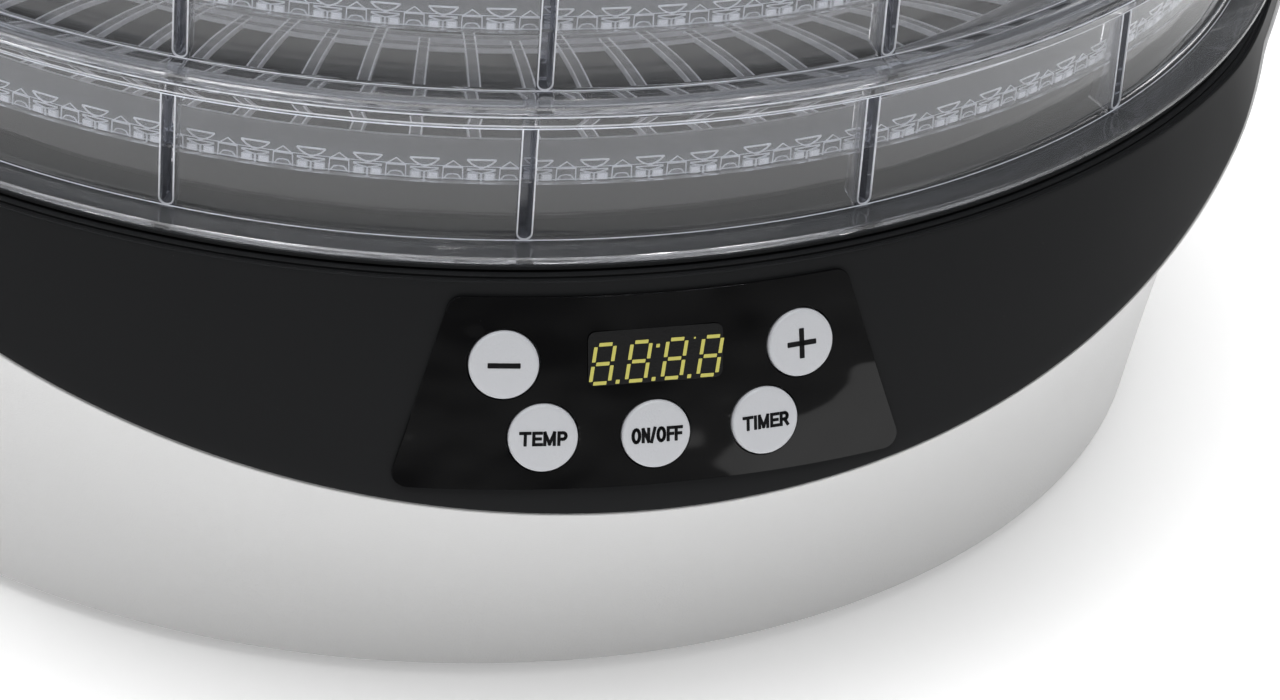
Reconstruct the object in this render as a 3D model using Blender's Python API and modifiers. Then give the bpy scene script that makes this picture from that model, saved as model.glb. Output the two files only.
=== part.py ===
"""Round stacking dryer: heated fan base with a digital panel, five clear trays and a vented lid.

Units are metres. +Z is up and -Y is the panel's side. The stack's axis stands AXIS_Y behind the origin,
which is the middle of the outline on the bench.
Heights named *_Z are above the base shell's lower edge, which stands FOOT_HEIGHT off the bench.
"""

import math

import bmesh
import bpy
from mathutils import Matrix, Vector

MM = 0.001
GAP = 0.3 * MM

# Overall size: the radii around the trays follow TRAY_RADIUS
TRAY_RADIUS = 162.5 * MM
TRAY_PITCH = 28.8 * MM
TRAY_COUNT = 5

# Base shell
FOOT_HEIGHT = 3.0 * MM
FOOT_RADIUS = 9.0 * MM
SHELL_BOTTOM_RADIUS = TRAY_RADIUS - 19.2 * MM
FOOT_CIRCLE = SHELL_BOTTOM_RADIUS - 25.3 * MM
SHELL_DRAFT = 0.155
SHELL_WALL = 2.6 * MM
SHELL_FLARE_POWER = 2.4
SHELL_LIP = 0.5 * MM
LEDGE_INNER_RADIUS = SHELL_BOTTOM_RADIUS - 14.3 * MM
PLATE_THICKNESS = 2.9 * MM
LEDGE_THICKNESS = 2.5 * MM

# Black collar with the control fascia
COLLAR_TOP_RADIUS = TRAY_RADIUS + 2.0 * MM
COLLAR_TOP_Z = 93.4 * MM
COLLAR_SLOPE = 0.268
COLLAR_WALL = 2.4 * MM
EDGE_FRONT_Z = 53.5 * MM
EDGE_RISE = 80.5 * MM
EDGE_SIDE_Z = 90.0 * MM
SEAT_RADIUS = TRAY_RADIUS - 0.7 * MM
SEAT_Z = 95.5 * MM
SEAT_INNER_RADIUS = TRAY_RADIUS - 7.0 * MM
COLLAR_LEDGE_RADIUS = TRAY_RADIUS - 12.0 * MM
COLLAR_LEDGE_Z = 89.0 * MM
COLLAR_LEDGE_THICKNESS = 2.0 * MM

# Deck inside the collar
DECK_THICKNESS = 2.5 * MM
DECK_WELL_Z = 84.0 * MM
DECK_FLAT_RADIUS = 112.0 * MM
DECK_WELL_RADIUS = 80.0 * MM
OUTLET_RADIUS = 47.4 * MM
OUTLET_COLLAR_WALL = 2.6 * MM
OUTLET_COLLAR_HEIGHT = 3.5 * MM
OUTLET_LEDGE = 3.4 * MM
GRILLE_THICKNESS = 2.0 * MM

# Panel
OVERLAY_THICKNESS = 0.4 * MM
OVERLAY_TOP_Z = 91.3 * MM
OVERLAY_BOTTOM_Z = 58.4 * MM
OVERLAY_TOP_ANGLE = 12.0
OVERLAY_BOTTOM_ANGLE = 15.1
BUTTON_RADIUS = 6.0 * MM
BUTTON_TRAVEL = 0.8 * MM
BUTTON_PROUD = 1.5 * MM
BUTTONS = (
    ("button_minus", -8.85, 79.9 * MM),
    ("button_plus", 8.85, 79.9 * MM),
    ("button_temp", -6.5, 67.4 * MM),
    ("button_power", 0.0, 67.2 * MM),
    ("button_timer", 6.5, 67.4 * MM),
)
WINDOW_Z = 80.7 * MM
WINDOW_SIZE = (23.6 * MM, 9.6 * MM)
DISPLAY_SIZE = (30.0 * MM, 13.0 * MM, 8.0 * MM)
BOARD_SIZE = (104.0 * MM, 32.0 * MM, 1.6 * MM)
BOARD_DEPTH = 14.0 * MM
BOARD_MID_Z = 74.0 * MM
SWITCH_SIZE = (6.0 * MM, 6.0 * MM, 3.5 * MM)

# Fan and heater
DUCT_RADIUS = 54.0 * MM
DUCT_WALL = 1.2 * MM
DUCT_BOTTOM_Z = 28.0 * MM
DUCT_FLANGE_RADIUS = 66.0 * MM
MOTOR_RADIUS = 18.0 * MM
MOTOR_BOTTOM_Z = 14.0 * MM
MOTOR_TOP_Z = 42.0 * MM
SHAFT_RADIUS = 1.5 * MM
BRACKET_THICKNESS = 2.0 * MM
FAN_BOTTOM_Z = 50.0 * MM
FAN_HEIGHT = 12.0 * MM
FAN_HUB_RADIUS = 10.0 * MM
FAN_RADIUS = 50.0 * MM
FAN_BLADES = 7
FRAME_BOTTOM_Z = 67.0 * MM
FRAME_HEIGHT = 12.0 * MM
COIL_WIRE_RADIUS = 0.9 * MM
COIL_TURNS = 3
COIL_SIDES = 5
COIL_INNER_RADIUS = 17.0 * MM
COIL_OUTER_RADIUS = 42.0 * MM

# Supply side
POWER_BOARD_SIZE = (78.0 * MM, 46.0 * MM, 1.6 * MM)
POWER_BOARD_Y = 95.0 * MM
STANDOFF_HEIGHT = 7.0 * MM
GLAND_Z = 24.0 * MM
GLAND_RADIUS = 6.0 * MM
GLAND_BORE_RADIUS = 3.5 * MM

# Trays and lid
TRAY_WALL_RADIUS = TRAY_RADIUS - 6.1 * MM
TRAY_WALL = 2.0 * MM
TRAY_FLANGE = 1.2 * MM
TRAY_RIM_HEIGHT = 3.4 * MM
TRAY_FLOOR_Z = 10.4 * MM
TRAY_FLOOR = 2.0 * MM
TRAY_HOLE_RADIUS = 16.0 * MM
TRAY_RIB_WIDTH = 4.6 * MM
TRAY_RIB_DEPTH = 4.0 * MM
TRAY_RIBS = 16
TRAY_RIB_ANGLE = -7.5
TRAY_SLOTS = 16
TRAY_SLOT_RADIUS = TRAY_WALL_RADIUS - 14.4 * MM
LID_WALL_HEIGHT = 9.0 * MM
LID_CROWN = 5.0 * MM
LID_CROWN_RADIUS = TRAY_RADIUS - 52.5 * MM
LID_VENTS = 12

# Resolution
ROUND = 48
TRAY_ROUND = 32
SMALL_ROUND = 10
BUTTON_ROUND = 16
GLAND_ROUND = 20

SCREW_HEAD_RADIUS = 3.0 * MM
SCREW_HEAD_HEIGHT = 1.5 * MM
SCREW_RADIUS = 1.4 * MM
SCREW_LENGTH = 4.6 * MM

PLATE_BOTTOM_Z = GAP
PLATE_TOP_Z = PLATE_BOTTOM_Z + PLATE_THICKNESS
LEDGE_BOTTOM_Z = PLATE_TOP_Z + GAP
LEDGE_TOP_Z = LEDGE_BOTTOM_Z + LEDGE_THICKNESS
DECK_TOP_Z = COLLAR_LEDGE_Z + GAP + DECK_THICKNESS
WELL_TOP_Z = DECK_WELL_Z + DECK_THICKNESS
PANEL_TILT = math.atan(COLLAR_SLOPE)
AXIS_Y = COLLAR_SLOPE * (EDGE_SIDE_Z - EDGE_FRONT_Z) / 2
STACK_BASE = Matrix.Translation((0.0, AXIS_Y, FOOT_HEIGHT))
STACK_Z = SEAT_Z + GAP


# ---------------------------------------------------------------- scene helpers
def clear_scene():
    for thing in list(bpy.data.objects):
        bpy.data.objects.remove(thing, do_unlink=True)


def new_collection(name, hidden=False):
    group = bpy.data.collections.new(name)
    group.hide_render = hidden
    bpy.context.scene.collection.children.link(group)
    return group


def material(name, colour, roughness, metallic=0.0, transmission=0.0):
    made = bpy.data.materials.new(name)
    made.use_nodes = True
    shader = made.node_tree.nodes["Principled BSDF"]
    shader.inputs["Base Color"].default_value = (*colour, 1.0)
    shader.inputs["Roughness"].default_value = roughness
    shader.inputs["Metallic"].default_value = metallic
    shader.inputs["Transmission Weight"].default_value = transmission
    made.diffuse_color = (*colour, 1.0)
    return made


def add_object(name, mesh, finish, group, place=None, smooth=True):
    thing = bpy.data.objects.new(name, mesh)
    group.objects.link(thing)
    if finish:
        mesh.materials.append(finish)
    if smooth:
        mesh.shade_smooth()
        mesh.set_sharp_from_angle(angle=math.radians(35.0))
    thing.matrix_world = STACK_BASE @ (place or Matrix())
    return thing


def mesh_from(shape, name):
    bmesh.ops.recalc_face_normals(shape, faces=shape.faces)
    mesh = bpy.data.meshes.new(name)
    shape.to_mesh(mesh)
    shape.free()
    return mesh


def apply_modifiers(thing):
    graph = bpy.context.evaluated_depsgraph_get()
    mesh = bpy.data.meshes.new_from_object(thing.evaluated_get(graph))
    thing.modifiers.clear()
    thing.data = mesh
    mesh.shade_smooth()
    mesh.set_sharp_from_angle(angle=math.radians(35.0))


def combine(thing, others, operation):
    for other in others:
        modifier = thing.modifiers.new(operation.lower(), "BOOLEAN")
        modifier.operation = operation
        modifier.solver = "EXACT"
        modifier.object = other
    bpy.context.view_layer.update()
    apply_modifiers(thing)


def cut(thing, cutters):
    combine(thing, cutters, "DIFFERENCE")


def join(thing, others):
    combine(thing, others, "UNION")


# ---------------------------------------------------------------- shapes
def revolved(name, profile, segments):
    """A closed (radius, height) outline turned about the Z axis."""
    shape = bmesh.new()
    points = [shape.verts.new((radius, 0.0, height)) for radius, height in profile]
    edges = [shape.edges.new((a, b)) for a, b in zip(points, points[1:] + points[:1])]
    bmesh.ops.spin(
        shape,
        geom=points + edges,
        axis=(0, 0, 1),
        cent=(0, 0, 0),
        angle=math.tau,
        steps=segments,
        use_merge=True,
    )
    bmesh.ops.remove_doubles(shape, verts=shape.verts, dist=0.01 * MM)
    return mesh_from(shape, name)


def disc_profile(radius, bottom, top):
    return [(0.0, bottom), (radius, bottom), (radius, top), (0.0, top)]


def lofted(name, sections, closed):
    """A solid through closed sections with the same number of points each."""
    shape = bmesh.new()
    rings = [[shape.verts.new(point) for point in section] for section in sections]
    pairs = list(zip(rings, rings[1:]))
    if closed:
        pairs.append((rings[-1], rings[0]))
    else:
        shape.faces.new(rings[0])
        shape.faces.new(list(reversed(rings[-1])))
    for near, far in pairs:
        count = len(near)
        for index in range(count):
            after = (index + 1) % count
            shape.faces.new((near[index], far[index], far[after], near[after]))
    return mesh_from(shape, name)


def box_mesh(name, size, centre=(0.0, 0.0, 0.0)):
    shape = bmesh.new()
    bmesh.ops.create_cube(shape, size=1.0)
    bmesh.ops.scale(shape, vec=size, verts=shape.verts)
    bmesh.ops.translate(shape, vec=centre, verts=shape.verts)
    return mesh_from(shape, name)


def around(angle):
    """Turns about the stack's axis, so that 0 degrees faces the panel's side and + goes to +X."""
    return Matrix.Rotation(math.radians(angle), 4, "Z")


def polar(radius, angle, height):
    turn = math.radians(angle)
    return Vector((radius * math.sin(turn), -radius * math.cos(turn), height))


def collar_radius(height):
    return COLLAR_TOP_RADIUS + COLLAR_SLOPE * (COLLAR_TOP_Z - height)


def edge_height(angle):
    rise = EDGE_FRONT_Z + EDGE_RISE * (1.0 - math.cos(math.radians(angle)))
    return min(rise, EDGE_SIDE_Z)


def panel_frame(angle, height):
    """Matrix with its origin on the fascia and +Z along the fascia's outward normal."""
    turn = math.radians(angle)
    across = Vector((math.cos(turn), math.sin(turn), 0.0))
    normal = Vector(
        (
            math.sin(turn) * math.cos(PANEL_TILT),
            -math.cos(turn) * math.cos(PANEL_TILT),
            math.sin(PANEL_TILT),
        )
    )
    up = normal.cross(across)
    frame = Matrix((across, up, normal)).transposed().to_4x4()
    frame.translation = polar(collar_radius(height), angle, height)
    return frame


def columns():
    """Azimuths of the shell's and collar's sections, closer together over the panel."""
    step = 360.0 / ROUND
    angles = []
    for index in range(ROUND):
        angle = -180.0 + index * step
        angles.append(angle)
        if abs(angle + step / 2) < 3 * step:
            angles.append(angle + step / 2)
    return angles


def cutter(name, mesh, place=None):
    thing = add_object(name, mesh, None, CUTTERS, place, smooth=False)
    thing.display_type = "WIRE"
    thing.hide_render = True
    return thing


def rod_cutter(name, radius, bottom, top, place=None):
    return cutter(name, revolved(name, disc_profile(radius, bottom, top), SMALL_ROUND), place)


def screw(name, place):
    """A pan-head screw: the head lies below the local origin and the shank rises above it."""
    profile = [
        (0.0, -SCREW_HEAD_HEIGHT),
        (SCREW_HEAD_RADIUS * 0.7, -SCREW_HEAD_HEIGHT),
        (SCREW_HEAD_RADIUS, -SCREW_HEAD_HEIGHT * 0.4),
        (SCREW_HEAD_RADIUS, 0.0),
        (SCREW_RADIUS, 0.0),
        (SCREW_RADIUS, SCREW_LENGTH),
        (0.0, SCREW_LENGTH),
    ]
    add_object(name, revolved(name, profile, SMALL_ROUND), STEEL, PART, place)


# ---------------------------------------------------------------- base
def shell_radius(height, angle):
    edge = edge_height(angle) - GAP
    plain = SHELL_BOTTOM_RADIUS + SHELL_DRAFT * height
    flare = collar_radius(edge) - SHELL_BOTTOM_RADIUS - SHELL_DRAFT * edge
    return plain + flare * (height / edge) ** SHELL_FLARE_POWER


def shell_section(angle):
    edge = edge_height(angle) - GAP
    outer = [edge * share for share in (0.0, 0.3, 0.55, 0.75, 0.9, 1.0)]
    inner = [edge * share for share in (1.0, 0.9, 0.7, 0.4)]
    points = [(shell_radius(height, angle), height) for height in outer]
    points[-1] = (points[-1][0] + SHELL_LIP, points[-1][1])
    points += [(shell_radius(height, angle) - SHELL_WALL, height) for height in inner]
    wall_foot = SHELL_BOTTOM_RADIUS - SHELL_WALL
    points += [
        (wall_foot + SHELL_DRAFT * LEDGE_TOP_Z, LEDGE_TOP_Z),
        (LEDGE_INNER_RADIUS, LEDGE_TOP_Z),
        (LEDGE_INNER_RADIUS, LEDGE_BOTTOM_Z),
        (wall_foot, LEDGE_BOTTOM_Z),
        (wall_foot, 0.0),
    ]
    return [polar(radius, angle, height) for radius, height in points]


def gland_place():
    """Level through the shell's rear wall, +Z outwards, clear of the sloping wall."""
    reach = GLAND_RADIUS + 3 * MM
    place = Matrix.Rotation(math.radians(-90.0), 4, "X")
    place.translation = (0.0, shell_radius(GLAND_Z + reach, 180.0) + GAP, GLAND_Z)
    return place


def make_shell():
    sections = [shell_section(angle) for angle in columns()]
    shell = add_object("base_housing", lofted("base_housing", sections, True), WHITE, PART)
    cutters = [
        rod_cutter(f"housing_screw_hole_{i}", SCREW_RADIUS + GAP, -2 * MM, 5.4 * MM, place)
        for i, place in enumerate(base_screw_places())
    ]
    hole = revolved("hole", disc_profile(GLAND_RADIUS + GAP, -9 * MM, 9 * MM), GLAND_ROUND)
    cutters.append(cutter("gland_hole", hole, gland_place()))
    cut(shell, cutters)


def base_screw_places():
    middle = (LEDGE_INNER_RADIUS + SHELL_BOTTOM_RADIUS - SHELL_WALL) / 2
    return [Matrix.Translation(polar(middle, angle, 0.0)) for angle in (45, 135, 225, 315)]


def make_bottom_plate():
    radius = SHELL_BOTTOM_RADIUS - SHELL_WALL - 1.5 * GAP
    profile = disc_profile(radius, PLATE_BOTTOM_Z, PLATE_TOP_Z)
    plate = add_object("bottom_plate", revolved("bottom_plate", profile, ROUND), BLACK, PART)
    posts = []
    for i, place in enumerate(standoff_places()):
        post = revolved("post", disc_profile(3 * MM, -STANDOFF_HEIGHT - MM, 0.0), SMALL_ROUND)
        posts.append(cutter(f"standoff_{i}", post, place))
    join(plate, posts)
    slots = []
    for i in range(12):
        slot = box_mesh("slot", (5 * MM, 24 * MM, 8 * MM), (0.0, -33 * MM, 1.7 * MM))
        slots.append(cutter(f"intake_slot_{i}", slot, around(30.0 * i)))
    for i, place in enumerate(base_screw_places()):
        slots.append(
            rod_cutter(f"plate_screw_hole_{i}", SCREW_RADIUS + GAP, -2 * MM, 5 * MM, place)
        )
    for i, place in enumerate(standoff_places()):
        hole = rod_cutter(f"standoff_hole_{i}", SCREW_RADIUS + GAP, -5.5 * MM, MM, place)
        slots.append(hole)
    cut(plate, slots)


def standoff_places():
    reach = POWER_BOARD_SIZE[0] / 2 - 5 * MM
    top = PLATE_TOP_Z + STANDOFF_HEIGHT
    return [Matrix.Translation((x, POWER_BOARD_Y, top)) for x in (-reach, reach)]


def make_feet_and_screws():
    profile = [
        (0.0, -FOOT_HEIGHT),
        (FOOT_RADIUS - MM, -FOOT_HEIGHT),
        (FOOT_RADIUS, -FOOT_HEIGHT + MM),
        (FOOT_RADIUS, 0.0),
        (0.0, 0.0),
    ]
    for i, angle in enumerate((45, 135, 225, 315), 1):
        place = Matrix.Translation(polar(FOOT_CIRCLE, angle, 0.0))
        name = f"foot_{i}"
        add_object(name, revolved(name, profile, 16), RUBBER, PART, place)
    for i, place in enumerate(base_screw_places(), 1):
        screw(f"base_screw_{i}", place)


def make_gland():
    profile = [
        (GLAND_BORE_RADIUS, -8 * MM),
        (GLAND_RADIUS, -8 * MM),
        (GLAND_RADIUS, GAP),
        (GLAND_RADIUS + 3 * MM, GAP),
        (GLAND_RADIUS + 3 * MM, 2.3 * MM),
        (GLAND_BORE_RADIUS + 1.4 * MM, 9 * MM),
        (GLAND_BORE_RADIUS, 9 * MM),
    ]
    mesh = revolved("cord_gland", profile, GLAND_ROUND)
    add_object("cord_gland", mesh, RUBBER, PART, gland_place())


def make_power_board():
    base = PLATE_TOP_Z + STANDOFF_HEIGHT + GAP
    thick = POWER_BOARD_SIZE[2]
    middle = Matrix.Translation((0.0, POWER_BOARD_Y, base + thick / 2))
    board = add_object(
        "power_board", box_mesh("power_board", POWER_BOARD_SIZE), BOARD, PART, middle, False
    )
    holes = [
        rod_cutter(f"board_hole_{i}", SCREW_RADIUS + GAP, -3 * MM, 4 * MM, place)
        for i, place in enumerate(standoff_places())
    ]
    cut(board, holes)
    top = base + thick + GAP
    flip = Matrix.Rotation(math.pi, 4, "X")
    for i, place in enumerate(standoff_places(), 1):
        raised = Matrix.Translation((0.0, 0.0, top - place.translation.z)) @ place
        screw(f"power_screw_{i}", raised @ flip)
    for name, x, size, finish in (
        ("power_relay", 17 * MM, (19 * MM, 16 * MM, 16 * MM), BLUE),
        ("power_transformer", -13 * MM, (28 * MM, 24 * MM, 22 * MM), COPPER),
    ):
        centre = Matrix.Translation((x, POWER_BOARD_Y, top + size[2] / 2))
        block = add_object(name, box_mesh(name, size), finish, PART, centre, False)
        bevel = block.modifiers.new("edge", "BEVEL")
        bevel.width = MM
        bevel.segments = 1


# ---------------------------------------------------------------- collar, deck and panel
def collar_section(angle):
    edge = edge_height(angle)
    ledge_bottom = COLLAR_LEDGE_Z - COLLAR_LEDGE_THICKNESS
    web = EDGE_SIDE_Z + 1.2 * MM
    hang = SEAT_INNER_RADIUS + 2.5 * MM
    points = [
        (SEAT_RADIUS, SEAT_Z),
        (SEAT_RADIUS, COLLAR_TOP_Z),
        (COLLAR_TOP_RADIUS - 0.7 * MM, COLLAR_TOP_Z + 0.2 * MM),
        (collar_radius(COLLAR_TOP_Z), COLLAR_TOP_Z - 0.4 * MM),
        (collar_radius(edge), edge),
        (collar_radius(edge) - COLLAR_WALL, edge),
        (collar_radius(web) - COLLAR_WALL, web),
        (hang, web),
        (hang, ledge_bottom),
        (COLLAR_LEDGE_RADIUS, ledge_bottom),
        (COLLAR_LEDGE_RADIUS, COLLAR_LEDGE_Z),
        (SEAT_INNER_RADIUS, COLLAR_LEDGE_Z),
        (SEAT_INNER_RADIUS, SEAT_Z),
    ]
    return [polar(radius, angle, height) for radius, height in points]


def boss_places():
    """Outward-facing frames at the two screw bosses, at the board's front face."""
    middle = panel_frame(0.0, BOARD_MID_Z)
    return [middle @ Matrix.Translation((x, 0.0, -BOARD_DEPTH)) for x in (-46 * MM, 46 * MM)]


def window_cutter(name):
    size = (WINDOW_SIZE[0] + 2 * GAP, WINDOW_SIZE[1] + 2 * GAP, 12 * MM)
    return cutter(name, box_mesh(name, size), panel_frame(0.0, WINDOW_Z))


def panel_cutters(owner):
    found = [window_cutter(f"{owner}_window_hole")]
    for name, angle, height in BUTTONS:
        place = panel_frame(angle, height)
        hole = revolved("hole", disc_profile(BUTTON_RADIUS + GAP, -6 * MM, 6 * MM), BUTTON_ROUND)
        found.append(cutter(f"{owner}_{name}_hole", hole, place))
    return found


def make_collar():
    sections = [collar_section(angle) for angle in columns()]
    collar = add_object("collar", lofted("collar", sections, True), BLACK, PART)
    bosses = []
    for i, place in enumerate(boss_places()):
        boss = revolved("boss", disc_profile(3 * MM, GAP, 6.6 * MM), SMALL_ROUND)
        bosses.append(cutter(f"boss_{i}", boss, place))
    join(collar, bosses)
    holes = panel_cutters("collar")
    for i, place in enumerate(boss_places()):
        holes.append(rod_cutter(f"boss_hole_{i}", SCREW_RADIUS + GAP, -MM, 3.4 * MM, place))
    for i, place in enumerate(deck_screw_places()):
        holes.append(
            rod_cutter(f"collar_screw_hole_{i}", SCREW_RADIUS + GAP, -2 * MM, 3 * MM, place)
        )
    cut(collar, holes)


def overlay_top(angle):
    share = (abs(angle) - OVERLAY_TOP_ANGLE) / (OVERLAY_BOTTOM_ANGLE - OVERLAY_TOP_ANGLE)
    drop = max(0.0, share) * (OVERLAY_TOP_Z - OVERLAY_BOTTOM_Z - 1.5 * MM)
    return OVERLAY_TOP_Z - drop


def overlay_section(angle):
    points = []
    for height, lift in (
        (OVERLAY_BOTTOM_Z, GAP),
        (OVERLAY_BOTTOM_Z, GAP + OVERLAY_THICKNESS),
        (overlay_top(angle), GAP + OVERLAY_THICKNESS),
        (overlay_top(angle), GAP),
    ):
        frame = panel_frame(angle, height)
        points.append(frame @ Vector((0.0, 0.0, lift)))
    return points


def make_overlay():
    half = [0.0, 3.0, 6.0, 9.0, OVERLAY_TOP_ANGLE, 13.5, OVERLAY_BOTTOM_ANGLE]
    angles = [-angle for angle in reversed(half[1:])] + half
    sections = [overlay_section(angle) for angle in angles]
    overlay = add_object(
        "control_overlay", lofted("control_overlay", sections, False), GLOSS_BLACK, PART
    )
    cut(overlay, panel_cutters("overlay"))


def make_window_and_display():
    proud = GAP + OVERLAY_THICKNESS
    depth = COLLAR_WALL + proud
    frame = panel_frame(0.0, WINDOW_Z)
    lens = box_mesh("display_window", (*WINDOW_SIZE, depth), (0.0, 0.0, proud - depth / 2))
    add_object("display_window", lens, SMOKE, PART, frame, False)
    back = BOARD_DEPTH - GAP
    centre = (0.0, 0.0, -back + DISPLAY_SIZE[2] / 2)
    module = box_mesh("display_module", DISPLAY_SIZE, centre)
    add_object("display_module", module, GLOSS_BLACK, PART, frame, False)


def make_control_board():
    frame = panel_frame(0.0, BOARD_MID_Z)
    centre = (0.0, 0.0, -BOARD_DEPTH - BOARD_SIZE[2] / 2)
    mesh = box_mesh("control_board", BOARD_SIZE, centre)
    board = add_object("control_board", mesh, BOARD, PART, frame, False)
    holes = [
        rod_cutter(f"control_hole_{i}", SCREW_RADIUS + GAP, -4 * MM, 2 * MM, place)
        for i, place in enumerate(boss_places())
    ]
    cut(board, holes)
    for i, place in enumerate(boss_places(), 1):
        seat = Matrix.Translation((0.0, 0.0, -BOARD_SIZE[2] - GAP))
        screw(f"panel_screw_{i}", place @ seat)


def switch_back(angle, height):
    """How far behind the fascia a switch's back is, along its button's axis."""
    middle = panel_frame(0.0, BOARD_MID_Z)
    local = middle.inverted() @ panel_frame(angle, height)
    lean = local.col[2][2]
    reach = (BOARD_DEPTH + local.translation.z) / lean
    corner = SWITCH_SIZE[0] * math.sqrt(0.5) * math.sqrt(max(0.0, 1.0 - lean * lean))
    return reach - corner - GAP


def make_switch(name, angle, height):
    back = -switch_back(angle, height)
    plunger_top = back + SWITCH_SIZE[2] + 1.5 * MM
    block = box_mesh(name, SWITCH_SIZE, (0.0, 0.0, back + SWITCH_SIZE[2] / 2))
    place = panel_frame(angle, height)
    switch = add_object(name, block, GLOSS_BLACK, PART, place, False)
    profile = disc_profile(1.7 * MM, plunger_top - 3 * MM, plunger_top)
    plunger = revolved("plunger", profile, SMALL_ROUND)
    join(switch, [cutter(f"{name}_plunger", plunger, place)])
    return plunger_top


def make_button(name, angle, height):
    plunger_top = make_switch(name.replace("button", "switch"), angle, height)
    collar = -COLLAR_WALL - 2 * GAP
    stem = plunger_top + BUTTON_TRAVEL + GAP
    profile = [
        (0.0, stem),
        (2.2 * MM, stem),
        (2.2 * MM, collar - 1.2 * MM),
        (BUTTON_RADIUS + 1.4 * MM, collar - 1.2 * MM),
        (BUTTON_RADIUS + 1.4 * MM, collar),
        (BUTTON_RADIUS, collar),
        (BUTTON_RADIUS, BUTTON_PROUD - 0.5 * MM),
        (BUTTON_RADIUS - 0.5 * MM, BUTTON_PROUD),
        (0.0, BUTTON_PROUD),
    ]
    mesh = revolved(name, profile, BUTTON_ROUND)
    add_object(name, mesh, CAP, PART, panel_frame(angle, height))


def deck_screw_places():
    middle = (COLLAR_LEDGE_RADIUS + SEAT_INNER_RADIUS) / 2
    height = COLLAR_LEDGE_Z - COLLAR_LEDGE_THICKNESS - GAP
    return [Matrix.Translation(polar(middle, angle, height)) for angle in (60, 180, 300)]


def shield_screw_places():
    height = DECK_WELL_Z - 2 * GAP - DUCT_WALL
    return [Matrix.Translation(polar(60.5 * MM, angle, height)) for angle in (0, 120, 240)]


def make_deck():
    collar_outer = OUTLET_RADIUS + OUTLET_COLLAR_WALL
    collar_top = WELL_TOP_Z + OUTLET_COLLAR_HEIGHT
    ledge_top = WELL_TOP_Z - GAP
    profile = [
        (SEAT_INNER_RADIUS - GAP, DECK_TOP_Z - DECK_THICKNESS),
        (SEAT_INNER_RADIUS - GAP, DECK_TOP_Z),
        (DECK_FLAT_RADIUS, DECK_TOP_Z),
        (DECK_WELL_RADIUS, WELL_TOP_Z),
        (collar_outer, WELL_TOP_Z),
        (collar_outer, collar_top),
        (OUTLET_RADIUS, collar_top),
        (OUTLET_RADIUS, ledge_top),
        (OUTLET_RADIUS - OUTLET_LEDGE, ledge_top),
        (OUTLET_RADIUS - OUTLET_LEDGE, DECK_WELL_Z),
        (DECK_WELL_RADIUS + MM, DECK_WELL_Z),
        (DECK_FLAT_RADIUS + MM, DECK_TOP_Z - DECK_THICKNESS),
    ]
    deck = add_object("top_deck", revolved("top_deck", profile, ROUND), BLACK, PART)
    holes = []
    for i, place in enumerate(deck_screw_places() + shield_screw_places()):
        holes.append(
            rod_cutter(f"deck_hole_{i}", SCREW_RADIUS + GAP, -2 * MM, SCREW_LENGTH + GAP, place)
        )
    cut(deck, holes)
    for i, place in enumerate(deck_screw_places(), 1):
        screw(f"deck_screw_{i}", place)


def make_grille():
    profile = disc_profile(OUTLET_RADIUS - GAP, WELL_TOP_Z, WELL_TOP_Z + GRILLE_THICKNESS)
    grille = add_object("outlet_grille", revolved("outlet_grille", profile, 32), BLACK, PART)
    slots = []
    for i in range(12):
        slot = box_mesh("slot", (6 * MM, 24 * MM, 8 * MM), (0.0, -28 * MM, WELL_TOP_Z))
        slots.append(cutter(f"grille_slot_{i}", slot, around(30.0 * i)))
    cut(grille, slots)


# ---------------------------------------------------------------- fan and heater
def make_duct():
    flange_top = DECK_WELL_Z - GAP
    flange_bottom = flange_top - DUCT_WALL
    profile = [
        (DUCT_RADIUS, DUCT_BOTTOM_Z),
        (DUCT_RADIUS + DUCT_WALL, DUCT_BOTTOM_Z),
        (DUCT_RADIUS + DUCT_WALL, flange_bottom),
        (DUCT_FLANGE_RADIUS, flange_bottom),
        (DUCT_FLANGE_RADIUS, flange_top),
        (DUCT_RADIUS, flange_top),
    ]
    duct = add_object("heat_shield", revolved("heat_shield", profile, 32), TIN, PART)
    holes = [
        rod_cutter(f"shield_hole_{i}", SCREW_RADIUS + GAP, -2 * MM, 3 * MM, place)
        for i, place in enumerate(shield_screw_places())
    ]
    cut(duct, holes)
    for i, place in enumerate(shield_screw_places(), 1):
        screw(f"shield_screw_{i}", place)


def motor_screw_places():
    top = MOTOR_TOP_Z + 2 * GAP + BRACKET_THICKNESS
    flip = Matrix.Rotation(math.pi, 4, "X")
    return [Matrix.Translation(polar(13 * MM, angle, top)) @ flip for angle in (90, 270)]


def make_motor():
    profile = [
        (0.0, MOTOR_BOTTOM_Z),
        (MOTOR_RADIUS - 2 * MM, MOTOR_BOTTOM_Z),
        (MOTOR_RADIUS, MOTOR_BOTTOM_Z + 2 * MM),
        (MOTOR_RADIUS, MOTOR_TOP_Z),
        (0.0, MOTOR_TOP_Z),
    ]
    motor = add_object("fan_motor", revolved("fan_motor", profile, 24), TIN, PART)
    holes = [
        rod_cutter(f"motor_hole_{i}", SCREW_RADIUS + GAP, -2 * MM, 5.2 * MM, place)
        for i, place in enumerate(motor_screw_places())
    ]
    cut(motor, holes)


def bracket_outline(height):
    """A disc with three arms that reach the duct's wall."""
    disc = MOTOR_RADIUS + 3 * MM
    half = 5 * MM
    reach = DUCT_RADIUS - 3 * GAP
    points = []
    for i in range(3):
        middle = 60.0 + 120.0 * i
        tip = math.degrees(math.asin(half / reach))
        root = math.degrees(math.asin(half / disc))
        for radius, angle in ((disc, -root), (reach, -tip), (reach, tip), (disc, root)):
            points.append(polar(radius, middle + angle, height))
        for step in range(1, 8):
            share = root + (120.0 - 2 * root) * step / 8
            points.append(polar(disc, middle + share, height))
    return points


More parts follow.
